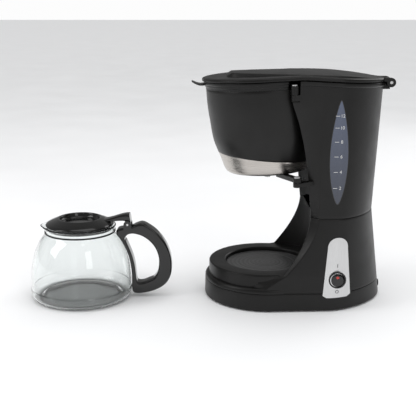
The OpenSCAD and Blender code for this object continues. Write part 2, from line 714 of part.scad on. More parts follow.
// Curved pull tab at the front of the rim
module pull_tab() {
    rotate([90, 0, 90]) translate([0, 0, -15]) linear_extrude(30) polygon(concat(
        [[-77.6, 117.2], [-83, 116.4]], bezier([-83, 116.4], [-88, 116.6], [-92, 119.5], [-96.5, 122.2], 5),
        bezier([-95.6, 123.4], [-91, 121.6], [-88, 119.4], [-84, 119.2], 5), [[-77.6, 119.6]]));
}

module basket_arm() color([0.04, 0.04, 0.045]) leaning() {
    difference() {
        union() {
            translate([pivot_x, pivot_y, -6.4]) cylinder(r = 5.5, h = 5.4);
            rotate([0, 0, atan2(pivot_y, pivot_x)]) translate([34, -4.5, -6.4])
                cube([norm([pivot_x, pivot_y]) - 34, 9, 5.4]);
            rotate([0, 0, atan2(pivot_y, pivot_x)]) translate([34, -4.5, -1.2]) cube([18, 9, 0.4]);
        }
        translate([pivot_x, pivot_y, -10]) cylinder(r = pin_r + run, h = 20);
    }
    difference() {
        union() {
            translate([pivot_x, pivot_y, 105]) cylinder(r = 5, h = 11);
            rotate([0, 0, atan2(pivot_y, pivot_x)]) translate([74, -3.5, 105])
                cube([norm([pivot_x, pivot_y]) - 74, 7, 6.4]);
        }
        translate([pivot_x, pivot_y, 100]) cylinder(r = pin_r + run, h = 20);
        wall_solid(-0.02, -5);
    }
}

funnel_low = 16;
shelf_h = 86;
module brew_funnel() color([0.06, 0.06, 0.065]) leaning() {
    rotate_extrude() polygon([[5, funnel_low], [40, funnel_low + 4], [48, shelf_h - 2.5], [52, shelf_h - 2],
        [72, 96.4], [74.8, 98], [74.8, 100], [70.5, 100], [50.8, 88.8], [49.6, shelf_h], [46, shelf_h],
        [38, funnel_low + 5.8], [5, funnel_low + 1.8]]);
    for (a = [0 : 45 : 315]) rotate([0, 0, a]) translate([12, -0.8, funnel_low + 1.6])
        cube([20, 1.6, filter_low - funnel_low - 1.6]);
}

filter_low = 28;
filter_top_r = 45;
filter_low_r = 33;
function filter_r(h) = lerp(filter_low_r, filter_top_r, (h - filter_low) / (shelf_h - filter_low));
module filter_cup(d, low, high) {
    translate([0, 0, low]) cylinder(r1 = filter_r(low) - d, r2 = filter_r(high) - d, h = high - low);
}

module filter_frame() color([0.93, 0.93, 0.92]) leaning() {
    difference() {
        union() {
            filter_cup(0, filter_low, shelf_h);
            translate([0, 0, shelf_h]) cylinder(r = filter_top_r + 2.6, h = 2.5);
        }
        filter_cup(1.6, filter_low + 1.6, shelf_h + 4);
        for (a = [0 : 90 : 270]) rotate([0, 0, a]) filter_windows();
    }
}

// One quarter's side opening and floor opening
module filter_windows() {
    translate([0, 0, filter_low + 6]) linear_extrude(shelf_h - filter_low - 12)
        polygon([[8, 0], [70, -52], [70, 52]]);
    translate([0, 0, filter_low - 1]) linear_extrude(5) intersection() {
        circle(r = filter_low_r - 4);
        polygon([[6, 0], [50, -40], [50, 40]]);
    }
}

module filter_mesh() color([0.85, 0.85, 0.84]) leaning() difference() {
    filter_cup(1.65, filter_low + 1.7, shelf_h - 4);
    filter_cup(2.05, filter_low + 2.1, shelf_h + 2);
}

// ---- drip valve in the basket's floor ----

stem_low = -12.5;
cage_top = 14.6;
module valve_cage() color([0.05, 0.05, 0.055]) leaning() difference() {
    union() {
        tube(12, 9.6, 2.4, cage_top);
        tube(10, 3.4, cage_top - 1.4, cage_top);
    }
    for (a = [0 : 60 : 120]) rotate([0, 0, a]) translate([-20, -3.4, 2.3]) cube([40, 6.8, 7.6]);
}

module valve_plunger() color([0.85, 0.85, 0.83]) leaning() {
    translate([0, 0, stem_low]) cylinder(r1 = 3.6, r2 = 5, h = 3);
    translate([0, 0, stem_low + 3]) cylinder(r = 5, h = 3.4 - stem_low - 3);
    translate([0, 0, 3.4]) cylinder(r = 8.4, h = 1.4);
    translate([0, 0, 4.8]) cylinder(r = 2.6, h = 4.6);
}

module valve_seal() color([0.5, 0.2, 0.15]) leaning() tube(8.2, 5.02, 2.42, 3.4);

module valve_spring() color([0.7, 0.7, 0.72]) leaning() {
    turns = 4;
    wire = 0.45;
    coil_r = 5;
    low = 4.8 + wire;
    high = cage_top - 1.4 - wire;
    sides = 8;
    steps = 20 * turns;
    loft([for (i = [0 : steps]) let (a = 360 * turns * i / steps, h = lerp(low, high, i / steps))
        [for (k = [0 : sides - 1]) let (b = -360 * k / sides, r = coil_r + wire * cos(b))
            [r * cos(a), r * sin(a), h + wire * sin(b)]]]);
}

// ---- carafe, about its own axis ----

// Outer line of the glass from the foot up to the neck, as [radius, height]
glass_line = concat([[52, 0], [62, 0]], arc([glass_r - 7, 7], 7, -80, 0, 6),
    bezier([glass_r, 14], [glass_r, 48], [66, 62], [56, 81], 10),
    bezier([56, 81], [52, 88], [47.4, 90.5], [47.4, 95], 5),
    bezier([47.4, 95], [47.4, 98], [48.4, 100], [49.2, glass_h - 0.8], 4));
function shifted_in(line, d) = [for (i = [0 : len(line) - 1]) let (
    a = line[max(i - 1, 0)], b = line[min(i + 1, len(line) - 1)], t = (b - a) / norm(b - a))
    [line[i][0] - t[1] * d, line[i][1] + t[0] * d]];

module glass_outer(d = 0) {
    rotate_extrude() polygon(concat([[0, -d]], shifted_in(glass_line, -d), [[0, glass_h]]));
}

module carafe_glass() color([0.9, 0.93, 0.93, 0.3]) carafe_frame() difference() {
    union() {
        rotate_extrude() polygon(concat([[0, 3], [50, 3]], glass_line, [[48.4, glass_h], [0, glass_h]]));
        translate([0, -7, glass_h - 7]) cylinder(r1 = 40.4, r2 = 47.3, h = 6.6);
    }
    rotate_extrude() polygon(concat([[0, 5]], [for (p = shifted_in(glass_line, glass_t)) if (p[1] > 4.9 ||
        p[0] < 50) [p[0], max(p[1], 5)]], [[47, glass_h + 1], [0, glass_h + 1]]));
    translate([0, -7, glass_h - 7.2]) cylinder(r1 = 38.4, r2 = 45.8, h = 7.3);
}

module carafe_band() color([0.1, 0.1, 0.1]) carafe_frame() difference() {
    tube(48.6, 46, 92.6, 95);
    glass_outer(0.1);
}

lever_y = 66;
lever_z = 104;
handle_outer = concat([[30, 96.5], [52, 97.4], [58, 98.4], [60.6, 99.6]],
    arc([lever_y, lever_z], 5.2, 180, 0, 10), [[71.4, 100.6], [76, 103]],
    bezier([76, 103], [78, 107], [86, 107.6], [94, 102.6], 6),
    bezier([94, 102.6], [114, 92], [126.4, 72], [126.4, 48], 8),
    bezier([126.4, 48], [126.4, 16], [108, 9], [66, 4.2], 8), [[30, 4.2]]);
handle_inner = concat([[63.6, 86]], bezier([63.6, 86], [66, 90.4], [74, 91], [78, 90], 5),
    bezier([78, 90], [97, 84.6], [108.2, 70], [108.2, 52], 8),
    bezier([108.2, 52], [108.2, 30], [96, 22], [77.4, 21.6], 8), [[74.6, 46], [70.4, 64]]);
module carafe_handle() color([0.03, 0.03, 0.03]) carafe_frame() difference() {
    rotate([90, 0, 90]) translate([0, 0, -handle_w / 2]) linear_extrude(handle_w) difference() {
        polygon(handle_outer);
        polygon(handle_inner);
    }
    glass_outer(0.05);
    tube(48.7, 30, 92.5, 96.1);
    translate([-7.8, lever_y - 7.2, lever_z - 7]) cube([15.6, 16, 30]);
    translate([-30, lever_y, lever_z]) rotate([0, 90, 0]) cylinder(r = 1.5, h = 60);
    translate([-30, 20, 96]) cube([60, 37, 30]);
    translate([0, 48, 89]) rotate([-90, 0, 0]) cylinder(r = 1.55, h = 16);
    translate([0, 60, 89]) rotate([-90, 0, 0]) cylinder(r = 3.2, h = 30);
}

module handle_screw() color([0.6, 0.6, 0.6]) carafe_frame() translate([0, 60, 89]) rotate([-90, 0, 0]) {
    translate([0, 0, -8]) cylinder(r = 1.5, h = 8);
    cylinder(r = 3, h = 2);
}

module carafe_lid() color([0.03, 0.03, 0.03]) carafe_frame() {
    rotate_extrude() polygon(concat([[0, 103.6], [41, 103.6], [41, 97], [43, 97], [43, glass_h + 0.6],
        [46.8, glass_h + 0.6]], arc([46, glass_h + 3.6], 0.8, 0, 80, 3), [[30, 112.2]],
        arc([28.6, 111.4], 1.2, 70, 180, 4), [[26, 106.4], [0, 106.4]]));
    difference() {
        union() {
            rotate([90, 0, 90]) translate([0, 0, -7.4]) linear_extrude(14.8) polygon(concat(
                [[40, 104.4], [57, 104.2]], arc([lever_y, lever_z], 6.5, 200, 330, 8),
                [[72.5, 104.5], [72.2, 116.6]],
                bezier([72.2, 116.6], [70, 119.4], [64, 118.6], [52, 114], 6), [[40, 110.2]]));
            rotate([90, 0, 90]) translate([0, 0, -11]) linear_extrude(22) polygon(concat([[44, 111.4]],
                bezier([44, 111.4], [54, 115.4], [63, 119.2], [72, 117.2], 6), [[72.3, 113.4], [60, 112.6],
                [50, 109.6]]));
        }
        translate([-30, lever_y, lever_z]) rotate([0, 90, 0]) cylinder(r = 1.5 + run, h = 60);
        translate([0, 0, 90]) cylinder(r = 26, h = 40);
    }
}

module carafe_lid_pin() color([0.6, 0.6, 0.6]) carafe_frame()
    translate([-handle_w / 2, lever_y, lever_z]) rotate([0, 90, 0]) cylinder(r = 1.5, h = handle_w);

base_housing();
bottom_plate();
rubber_feet();
bottom_screws();
hot_plate();
heater_casting();
heater_strap();
thermostat();
thermal_fuses();
check_valve();
inlet_hose();
outlet_hose();
hose_clips();
terminal_block();
cord_gland();
tank_housing();
water_tank();
gauge_window();
riser_tube();
spout_arm();
switch_plate();
switch_body();
rocker();
rocker_lens();
upper_bracket();
upper_hinge_pin();
lower_bracket();
lower_hinge_pin();
lid_bracket();
lid_hinge_pin();
lid();
lid_panel();
basket();
basket_rim();
steel_band();
basket_arm();
brew_funnel();
filter_frame();
filter_mesh();
valve_cage();
valve_plunger();
valve_seal();
valve_spring();
carafe_glass();
carafe_band();
carafe_handle();
handle_screw();
carafe_lid();
carafe_lid_pin();
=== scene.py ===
"""Looks of a drip coffee maker with its glass carafe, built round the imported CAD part.

Shapes are given in millimetres about the hot plate's axis on the counter, +X towards the gauge and
the switch, -Y towards the front, and place() turns them into the row frame's metres.
"""
import json
import math

import bmesh
import bpy
from mathutils import Matrix, Vector


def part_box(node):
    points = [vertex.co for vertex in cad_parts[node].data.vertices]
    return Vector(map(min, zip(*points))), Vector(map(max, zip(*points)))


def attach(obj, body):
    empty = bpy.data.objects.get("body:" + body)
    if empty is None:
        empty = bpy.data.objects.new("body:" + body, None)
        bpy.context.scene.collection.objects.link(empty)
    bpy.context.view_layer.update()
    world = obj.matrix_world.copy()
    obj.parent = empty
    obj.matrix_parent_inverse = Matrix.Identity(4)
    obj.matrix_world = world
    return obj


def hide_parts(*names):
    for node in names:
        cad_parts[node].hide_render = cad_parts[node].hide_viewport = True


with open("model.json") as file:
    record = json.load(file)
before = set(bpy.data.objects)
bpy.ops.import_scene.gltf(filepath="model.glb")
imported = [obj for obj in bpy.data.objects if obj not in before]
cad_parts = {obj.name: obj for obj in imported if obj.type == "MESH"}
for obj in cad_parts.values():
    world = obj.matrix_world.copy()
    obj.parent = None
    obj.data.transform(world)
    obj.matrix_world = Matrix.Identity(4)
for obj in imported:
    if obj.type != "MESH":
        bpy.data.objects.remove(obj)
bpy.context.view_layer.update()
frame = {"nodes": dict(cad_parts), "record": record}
MM = 0.001
TAU = 2 * math.pi


def centre(node):
    low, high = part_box(node)
    return (low + high) / 2


AXIS_Y = centre("hot_plate").y / MM
CARAFE = Vector((centre("carafe_band").x / MM, centre("carafe_band").y / MM - AXIS_Y, 0))
TILT = math.radians(3)
BASKET_Z = 179.0
BASKET = Matrix.Translation((0, 0, BASKET_Z)) @ Matrix.Rotation(TILT, 4, "X")


def place(p):
    return Vector((p[0], p[1] + AXIS_Y, p[2])) * MM


def in_basket(p):
    """From the leaning basket's own frame to the row frame."""
    return place(BASKET @ Vector(p))


def in_carafe(p):
    return place(CARAFE + Vector(p))


# ---------------------------------------------------------------- camera, floor and light

def look_along(direction):
    return Vector(direction).to_track_quat("-Z", "Y")


def make_camera():
    data = bpy.data.cameras.new("camera")
    data.lens = 69.2
    data.sensor_width = 36
    camera = bpy.data.objects.new("camera", data)
    camera.rotation_mode = "QUATERNION"
    camera.location = place((1078, -80.9, 382.8))
    camera.rotation_quaternion = look_along((-0.972, 0, -0.2351))
    bpy.context.scene.collection.objects.link(camera)
    bpy.context.scene.camera = camera


def area_light(name, position, target, size, power, colour=(1, 1, 1)):
    data = bpy.data.lights.new(name, "AREA")
    data.shape = "RECTANGLE"
    data.size, data.size_y = size
    data.energy = power
    data.color = colour
    lamp = bpy.data.objects.new(name, data)
    lamp.location = position
    lamp.rotation_mode = "QUATERNION"
    lamp.rotation_quaternion = look_along(Vector(target) - Vector(position))
    bpy.context.scene.collection.objects.link(lamp)


def make_studio():
    """White room; what glossy surfaces mirror of it is dimmer, as with black flags round the set."""
    scene = bpy.context.scene
    scene.view_settings.view_transform = "Standard"
    scene.world = bpy.data.worlds.new("studio")
    scene.world.use_nodes = True
    tree = scene.world.node_tree
    white = tree.nodes["Background"]
    flags = tree.nodes.new("ShaderNodeBackground")
    for node, strength in ((white, 0.98), (flags, 0.26)):
        node.inputs["Color"].default_value = (1, 1, 1, 1)
        node.inputs["Strength"].default_value = strength
    path = tree.nodes.new("ShaderNodeLightPath")
    mix = tree.nodes.new("ShaderNodeMixShader")
    tree.links.new(path.outputs["Is Glossy Ray"], mix.inputs["Fac"])
    tree.links.new(white.outputs["Background"], mix.inputs[1])
    tree.links.new(flags.outputs["Background"], mix.inputs[2])
    tree.links.new(mix.outputs["Shader"], tree.nodes["World Output"].inputs["Surface"])
    middle = (0, 0, 0.15)
    area_light("softbox_front", (0.5, -1.5, 1.2), middle, (0.7, 1.2), 8)
    area_light("softbox_top", (0.1, 0.1, 1.7), middle, (1.2, 1.2), 5)
    area_light("softbox_camera", (1.6, 0.7, 0.9), middle, (0.5, 1.0), 3)
    area_light("softbox_back", (-1.2, 1.1, 1.0), middle, (0.8, 1.1), 4)


# ---------------------------------------------------------------- materials

class Nodes:
    """A material's node tree, with short ways to add and join nodes."""

    def __init__(self, name):
        self.material = bpy.data.materials.new(name)
        self.material.use_nodes = True
        self.tree = self.material.node_tree
        self.shader = self.tree.nodes["Principled BSDF"]
        self.space = self.add("ShaderNodeTexCoord").outputs["Object"]

    def add(self, kind, **settings):
        node = self.tree.nodes.new(kind)
        for key, value in settings.items():
            if hasattr(node, key):
                setattr(node, key, value)
            else:
                node.inputs[key.replace("_", " ")].default_value = value
        return node

    def join(self, out, into):
        self.tree.links.new(out, into)

    def put(self, **values):
        for key, value in values.items():
            self.shader.inputs[key.replace("_", " ")].default_value = value

    def stretched(self, scale):
        mapping = self.add("ShaderNodeMapping")
        mapping.inputs["Scale"].default_value = scale
        self.join(self.space, mapping.inputs["Vector"])
        return mapping.outputs["Vector"]

    def noise(self, scale, detail=4.0, vector=None):
        node = self.add("ShaderNodeTexNoise", Scale=scale, Detail=detail)
        self.join(vector or self.space, node.inputs["Vector"])
        return node.outputs["Fac"]

    def ramp(self, factor, low, high, start=0.3, end=0.7):
        node = self.add("ShaderNodeValToRGB")
        node.color_ramp.elements[0].position = start
        node.color_ramp.elements[1].position = end
        node.color_ramp.elements[0].color = low
        node.color_ramp.elements[1].color = high
        self.join(factor, node.inputs["Fac"])
        return node.outputs["Color"]

    def spread(self, factor, low, high, socket):
        node = self.add("ShaderNodeMapRange")
        node.inputs["From Min"].default_value = 0.3
        node.inputs["From Max"].default_value = 0.7
        node.inputs["To Min"].default_value = low
        node.inputs["To Max"].default_value = high
        self.join(factor, node.inputs["Value"])
        self.join(node.outputs["Result"], self.shader.inputs[socket])

    def bump(self, height, strength, distance, under=None):
        node = self.add("ShaderNodeBump", Strength=strength, Distance=distance)
        self.join(height, node.inputs["Height"])
        if under:
            self.join(under, node.inputs["Normal"])
        self.join(node.outputs["Normal"], self.shader.inputs["Normal"])
        return node.outputs["Normal"]


def grey(v, warm=0.0):
    return (v * (1 + warm), v, v * (1 - warm), 1)


def moulded(name, dark, light, rough, grain, depth, warm=0.03, coat=0.0):
    """Injection-moulded plastic: a fine spark-eroded grain, slow colour and gloss variation."""
    m = Nodes(name)
    m.join(m.ramp(m.noise(28), grey(dark, warm), grey(light, warm)), m.shader.inputs["Base Color"])
    m.spread(m.noise(45), rough[0], rough[1], "Roughness")
    first = m.bump(m.noise(grain, 2), 0.35, depth)
    m.bump(m.noise(60, 2), 0.06, 0.0006, first)
    m.put(Coat_Weight=coat, Coat_Roughness=0.08, Specular_IOR_Level=0.33)
    return m.material


def brushed_steel(name):
    """Steel band brushed round its axis, so that the lines run along the band."""
    m = Nodes(name)
    lines = m.noise(1.0, 3, m.stretched((12, 12, 5200)))
    m.join(m.ramp(lines, grey(0.4, 0.08), grey(0.56, 0.05)), m.shader.inputs["Base Color"])
    m.spread(lines, 0.2, 0.34, "Roughness")
    m.bump(lines, 0.12, 0.00008)
    m.put(Metallic=1.0, Anisotropic=0.5)
    return m.material


def satin_metal(name, value, rough, grain=(900, 900, 900)):
    m = Nodes(name)
    speck = m.noise(1.0, 3, m.stretched(grain))
    m.join(m.ramp(speck, grey(value * 0.9), grey(value)), m.shader.inputs["Base Color"])
    m.spread(speck, rough, rough + 0.1, "Roughness")
    m.bump(speck, 0.1, 0.00005)
    m.put(Metallic=1.0)
    return m.material


def coated_plate(name):
    """Non-stick coat: dark, slightly speckled, with faint rings worn by the carafe."""
    m = Nodes(name)
    rings = m.add("ShaderNodeTexWave", wave_type="RINGS", rings_direction="Z", Scale=55.0, Distortion=1.2)
    shifted = m.add("ShaderNodeMapping")
    shifted.inputs["Location"].default_value = (0, -AXIS_Y * MM, 0)
    m.join(m.space, shifted.inputs["Vector"])
    m.join(shifted.outputs["Vector"], rings.inputs["Vector"])
    m.join(m.ramp(m.noise(700, 2), grey(0.035), grey(0.075), 0.45, 0.75), m.shader.inputs["Base Color"])
    m.spread(rings.outputs["Fac"], 0.34, 0.42, "Roughness")
    m.bump(m.noise(900, 2), 0.25, 0.00006)
    m.put(Specular_IOR_Level=0.5)
    return m.material


def clear_glass(name):
    m = Nodes(name)
    m.spread(m.noise(30), 0.0, 0.015, "Roughness")
    m.bump(m.noise(14, 1), 0.05, 0.0012)
    m.put(Base_Color=(0.97, 0.99, 0.985, 1), Transmission_Weight=1.0, IOR=1.47)
    return m.material


def smoked_window(name):
    """Blue-grey translucent plastic of the gauge, with a painted highlight: its colour turns lighter towards
    its top, as if lit from above.
    """
    m = Nodes(name)
    height = m.add("ShaderNodeSeparateXYZ")
    m.join(m.space, height.inputs["Vector"])
    ramp = m.add("ShaderNodeMapRange")
    ramp.inputs["From Min"].default_value = 0.15
    ramp.inputs["From Max"].default_value = 0.27
    m.join(height.outputs["Z"], ramp.inputs["Value"])
    # painted light: the real dark blue-grey tint at the bottom ramps to a lighter colour at the top, standing
    # in for light from above
    colour = m.ramp(ramp.outputs["Result"], (0.022, 0.027, 0.044, 1), (0.06, 0.075, 0.12, 1), 0.0, 1.0)
    m.join(colour, m.shader.inputs["Base Color"])
    m.spread(m.noise(60), 0.1, 0.16, "Roughness")
    m.bump(m.noise(90, 2), 0.05, 0.0003)
    m.put(Coat_Weight=0.6, Coat_Roughness=0.05)
    return m.material


def printed(name, value):
    m = Nodes(name)
    m.join(m.ramp(m.noise(900), grey(value * 0.85), grey(value)), m.shader.inputs["Base Color"])
    m.spread(m.noise(300), 0.4, 0.5, "Roughness")
    return m.material


def woven_mesh(name):
    """Fine nylon filter cloth: two crossing sets of threads and the light that passes between them."""
    m = Nodes(name)
    waves = [m.add("ShaderNodeTexWave", bands_direction=way, Scale=420.0) for way in ("Z", "DIAGONAL")]
    for wave in waves:
        m.join(m.space, wave.inputs["Vector"])
    both = m.add("ShaderNodeMath", operation="MAXIMUM")
    for wave, socket in zip(waves, both.inputs):
        m.join(wave.outputs["Fac"], socket)
    m.join(m.ramp(both.outputs["Value"], grey(0.55), grey(0.86), 0.4, 0.8), m.shader.inputs["Base Color"])
    m.bump(both.outputs["Value"], 0.5, 0.0001)
    m.put(Roughness=0.7)
    return m.material


def soft_rubber(name, value):
    m = Nodes(name)
    m.join(m.ramp(m.noise(120), grey(value * 0.8), grey(value)), m.shader.inputs["Base Color"])
    m.spread(m.noise(200), 0.6, 0.8, "Roughness")
    m.bump(m.noise(1500, 2), 0.2, 0.00006)
    return m.material


def lens_red(name):
    m = Nodes(name)
    m.join(m.ramp(m.noise(300), (0.45, 0.01, 0.006, 1), (0.7, 0.03, 0.015, 1)), m.shader.inputs["Base Color"])
    m.spread(m.noise(300), 0.08, 0.14, "Roughness")
    m.put(Transmission_Weight=0.3, Coat_Weight=0.5)
    return m.material


def pale_floor(name):
    m = Nodes(name)
    m.join(m.ramp(m.noise(3), (0.89, 0.895, 0.905, 1), (0.915, 0.92, 0.93, 1)), m.shader.inputs["Base Color"])
    m.spread(m.noise(5), 0.42, 0.5, "Roughness")
    return m.material


MATERIALS = {
    "black_plastic": moulded("black_plastic", 0.003, 0.0045, (0.34, 0.42), 1500, 0.00009, 0.08),
    "black_gloss": moulded("black_gloss", 0.004, 0.006, (0.1, 0.16), 2600, 0.00002, 0.02, coat=0.5),
    "plate_paint": coated_plate("plate_paint"),
    "cast_aluminium": satin_metal("cast_aluminium", 0.68, 0.42, (300, 300, 300)),
    "zinc": satin_metal("zinc", 0.6, 0.28),
    "band_steel": brushed_steel("band_steel"),
    "silver_trim": satin_metal("silver_trim", 0.72, 0.3, (2400, 2400, 60)),
    "foot_rubber": soft_rubber("foot_rubber", 0.03),
    "silicone": soft_rubber("silicone", 0.72),
    "gauge_plastic": smoked_window("gauge_plastic"),
    "tank_plastic": moulded("tank_plastic", 0.03, 0.045, (0.2, 0.3), 900, 0.00004, -0.15),
    "white_plastic": moulded("white_plastic", 0.78, 0.86, (0.35, 0.45), 1800, 0.00004, 0.01),
    "ceramic": moulded("ceramic", 0.72, 0.8, (0.5, 0.65), 1200, 0.0001, 0.04),
    "red_lens": lens_red("red_lens"),
    "carafe_glass": clear_glass("carafe_glass"),
    "filter_cloth": woven_mesh("filter_cloth"),
    "print_white": printed("print_white", 0.62),
    "print_black": printed("print_black", 0.03),
    "floor": pale_floor("floor"),
}


# ---------------------------------------------------------------- mesh helpers

def along(table, x):
    """Value at x of a table of (x, value) pairs, straight between them."""
    if x <= table[0][0]:
        return table[0][1]
    for (x0, v0), (x1, v1) in zip(table, table[1:]):
        if x <= x1:
            return v0 + (v1 - v0) * (x - x0) / (x1 - x0)
    return table[-1][1]


def smooth(table, x):
    """The same table, followed on a smooth curve through its points."""
    pts = [table[0]] + list(table) + [table[-1]]
    for i in range(1, len(pts) - 2):
        if x <= pts[i + 1][0] or i == len(pts) - 3:
            (xa, a), (xb, b), (xc, c), (xd, d) = pts[i - 1:i + 3]
            t = min(1, max(0, (x - xb) / max(1e-9, xc - xb)))
            m0 = (c - a) / max(1e-9, xc - xa) * (xc - xb)
            m1 = (d - b) / max(1e-9, xd - xb) * (xc - xb)
            return ((2 * t ** 3 - 3 * t ** 2 + 1) * b + (t ** 3 - 2 * t ** 2 + t) * m0
                    + (3 * t ** 2 - 2 * t ** 3) * c + (t ** 3 - t ** 2) * m1)
    return table[-1][1]


def bezier(a, b, c, d, n=12):
    out = []
    for i in range(n + 1):
        t = i / n
        k = ((1 - t) ** 3, 3 * (1 - t) ** 2 * t, 3 * (1 - t) * t * t, t ** 3)
        out.append(tuple(sum(w * p[j] for w, p in zip(k, (a, b, c, d))) for j in range(len(a))))
    return out


def rounded(points, radius, n=4):
    """An open line whose inner corners are rounded; radius is a number, or one for each point."""
    out = [points[0]]
    for i in range(1, len(points) - 1):
        a, p, b = (Vector(points[i + k]) for k in (-1, 0, 1))
        r = radius[i] if isinstance(radius, (list, tuple)) else radius
        r = min(r, (a - p).length * 0.48, (b - p).length * 0.48)
        if r < 1e-4:
            out.append(tuple(p))
            continue
        u, v = p + (a - p).normalized() * r, p + (b - p).normalized() * r
        for t in (k / n for k in range(n + 1)):
            out.append(tuple((1 - t) ** 2 * u + 2 * t * (1 - t) * p + t * t * v))
    return out + [points[-1]]


def squared(x, power):
    """x with its size raised to power, which turns an ellipse into a rounded rectangle."""
    return math.copysign(abs(x) ** power, x)


class Shape:
    """Gathers points and faces of one piece, in its own millimetres."""

    def __init__(self, to=place):
        self.points, self.faces, self.to = [], [], to

    def rings(self, rings, loop=True, profile_loop=False, cap_start=False, cap_end=False):
        start = len(self.points)
        n = len(rings[0])
        for ring in rings:
            self.points += [self.to(p) for p in ring]
        rows = len(rings)
        for i in range(rows if profile_loop else rows - 1):
            a, b = start + i * n, start + (i + 1) % rows * n
            for k in range(n if loop else n - 1):
                j = (k + 1) % n
                self.faces.append((a + k, a + j, b + j, b + k))
        if cap_start:
            self.faces.append(tuple(range(start + n - 1, start - 1, -1)))
        if cap_end:
            self.faces.append(tuple(range(start + (rows - 1) * n, start + rows * n)))
        return self

    def lathe(self, profile, steps=128, profile_loop=False):
        """A profile of (radius, height) points turned about the vertical axis."""
        turns = [TAU * k / steps for k in range(steps)]
        rings = [[(r * math.cos(a), r * math.sin(a), h) for a in turns] for r, h in profile]
        return self.rings(rings, profile_loop=profile_loop)

    def piece(self, name, material, body, replaces=(), sharp=38, bevel=0.0, segments=2):
        mesh = bpy.data.meshes.new(name)
        mesh.from_pydata(self.points, [], self.faces)
        work = bmesh.new()
        work.from_mesh(mesh)
        bmesh.ops.remove_doubles(work, verts=work.verts, dist=2e-6)
        bmesh.ops.dissolve_degenerate(work, edges=work.edges, dist=1e-7)
        bmesh.ops.recalc_face_normals(work, faces=work.faces)
        work.to_mesh(mesh)
        work.free()
        mesh.shade_smooth()
        mesh.set_sharp_from_angle(angle=math.radians(sharp))
        mesh.materials.append(MATERIALS[material])
        obj = bpy.data.objects.new(name, mesh)
        bpy.context.scene.collection.objects.link(obj)
        if bevel:
            add_bevel(obj, bevel, segments)
        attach(obj, body)
        if replaces:
            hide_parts(*replaces)
        return obj


def add_bevel(obj, width, segments=2):
    bevel = obj.modifiers.new("edge", "BEVEL")
    bevel.width = width * MM
    bevel.segments = segments
    bevel.limit_method = "ANGLE"
    bevel.angle_limit = math.radians(32)
    bevel.harden_normals = True
    bevel.use_clamp_overlap = True


def mirror_ring(half):
    """A closed outline from a half that starts and ends on the middle plane x = 0."""
    return half + [(-p[0],) + tuple(p[1:]) for p in reversed(half[1:-1])]


# ---------------------------------------------------------------- tower and base outlines

RING_H, SEAM_H, TOWER_H = 49.5, 125.0, 303.0
BAY_R, BASE_R, TIER_R, RECESS_R = 82.0, 85.0, 79.0, 56.0
RIDGE_Y, REAR_SLOPE = 40.0, math.radians(3.2)
POCKET_Y, POCKET_Z = 34.0, 276.5
REAR_POWER = 2 / 1.6


def rise(z):
    return 1 - (1 - (z - RING_H) / (SEAM_H - RING_H)) ** 1.7


def edge_y(z):
    if z < RING_H:
        return 18 - 1.5 * (RING_H - z)
    if z < SEAM_H:
        return 18 + 35 * rise(z)
    return smooth([(SEAM_H, 53), (170, 48.5), (216, 41.5), (250, 33), (276.5, 24), (303, 20)], z)


def corner_y(z):
    if z < RING_H:
        return 22 - 1.5 * (RING_H - z)
    return 22 + 41 * rise(z) if z < SEAM_H else 63.0


def corner_x(z):
    return along([(0, 84), (27, 83.4), (RING_H, 82.3), (SEAM_H, 74), (310, 77.2)], z)


def side_x(z):
    return along([(0, 81), (27, 80.2), (SEAM_H, 74), (310, 78)], z)


def side_y(z):
    return along([(0, 77), (SEAM_H, 88), (310, 84)], z)


def rear_y(z):
    return along([(0, 160.5), (SEAM_H, 145), (310, 153.8)], z)


def rear_half(z, w=0.0, steps=40):
    xs, ym, yr = side_x(z) - w, side_y(z), rear_y(z) - w
    angles = [math.pi / 2 * k / steps for k in range(steps + 1)]
    return [(xs * math.cos(a) ** REAR_POWER if k < steps else 0.0, ym + (yr - ym) * math.sin(a) ** REAR_POWER)
            for k, a in enumerate(angles)]


def side_surface(y, z, w=0.0):
    """Distance of the tower's outer side from the middle plane, at y and z."""
    ym = side_y(z)
    if y < ym:
        t = (y - corner_y(z)) / (ym - corner_y(z))
        return corner_x(z) - w + (side_x(z) - corner_x(z)) * t
    s = ((y - ym) / (rear_y(z) - ym)) ** (1 / REAR_POWER)
    return (side_x(z) - w) * math.sqrt(max(0, 1 - s * s)) ** REAR_POWER


def facet_ends(z, w, r):
    """Where the wing's front facet starts, on the bay's circle of radius r, and its outer corner."""
    c = Vector((corner_x(z) - w, corner_y(z) + 0.4 * w))
    y = edge_y(z)
    a = Vector((math.sqrt(BAY_R ** 2 - y * y) - 0.6 * w, y + w))
    d = c - a
    k = a.dot(d) / d.dot(d)
    a = a + d * (math.sqrt(max(0, k * k - (a.dot(a) - r * r) / d.dot(d))) - k)
    return a, c


def tower_half(z, w=0.0, r=BAY_R, soft=1.3, pocket=False):
    """Half of the tower's U-shaped outline, from the back of the bay round the wing to the rear."""
    a, c = facet_ends(z, w, r)
    turn = math.atan2(a.y, a.x)
    arc = [math.pi / 2 + (turn + soft / r - math.pi / 2) * k / 30 for k in range(31)]
    line = [(r * math.cos(t), r * math.sin(t)) for t in arc]
    line[0] = (0.0, r)
    first = Vector(line[-1])
    d = (c - a).normalized()
    start = a + d * soft
    for k in range(1, 5):
        t = k / 4
        line.append(tuple((1 - t) ** 2 * first + 2 * t * (1 - t) * a + t * t * start))
    end = c - d * soft * 0.8
    line += [tuple(start.lerp(end, k / 4)) for k in range(1, 5)]
    rear = rear_half(z, w)
    out = (Vector(rear[0]) - c).normalized()
    last = c + out * soft * 0.8
    line += [tuple((1 - t) ** 2 * end + 2 * t * (1 - t) * c + t * t * last) for t in (0.25, 0.5, 0.75, 1)]
    line += rear
    if pocket:
        inner = (math.sqrt(r * r - POCKET_Y ** 2), POCKET_Y)
        along_facet = a + (c - a) * ((POCKET_Y - a.y) / (c.y - a.y))
        for k, p in enumerate(line):
            if p[1] < POCKET_Y:
                line[k] = inner if k <= 30 else tuple(along_facet)
    return line


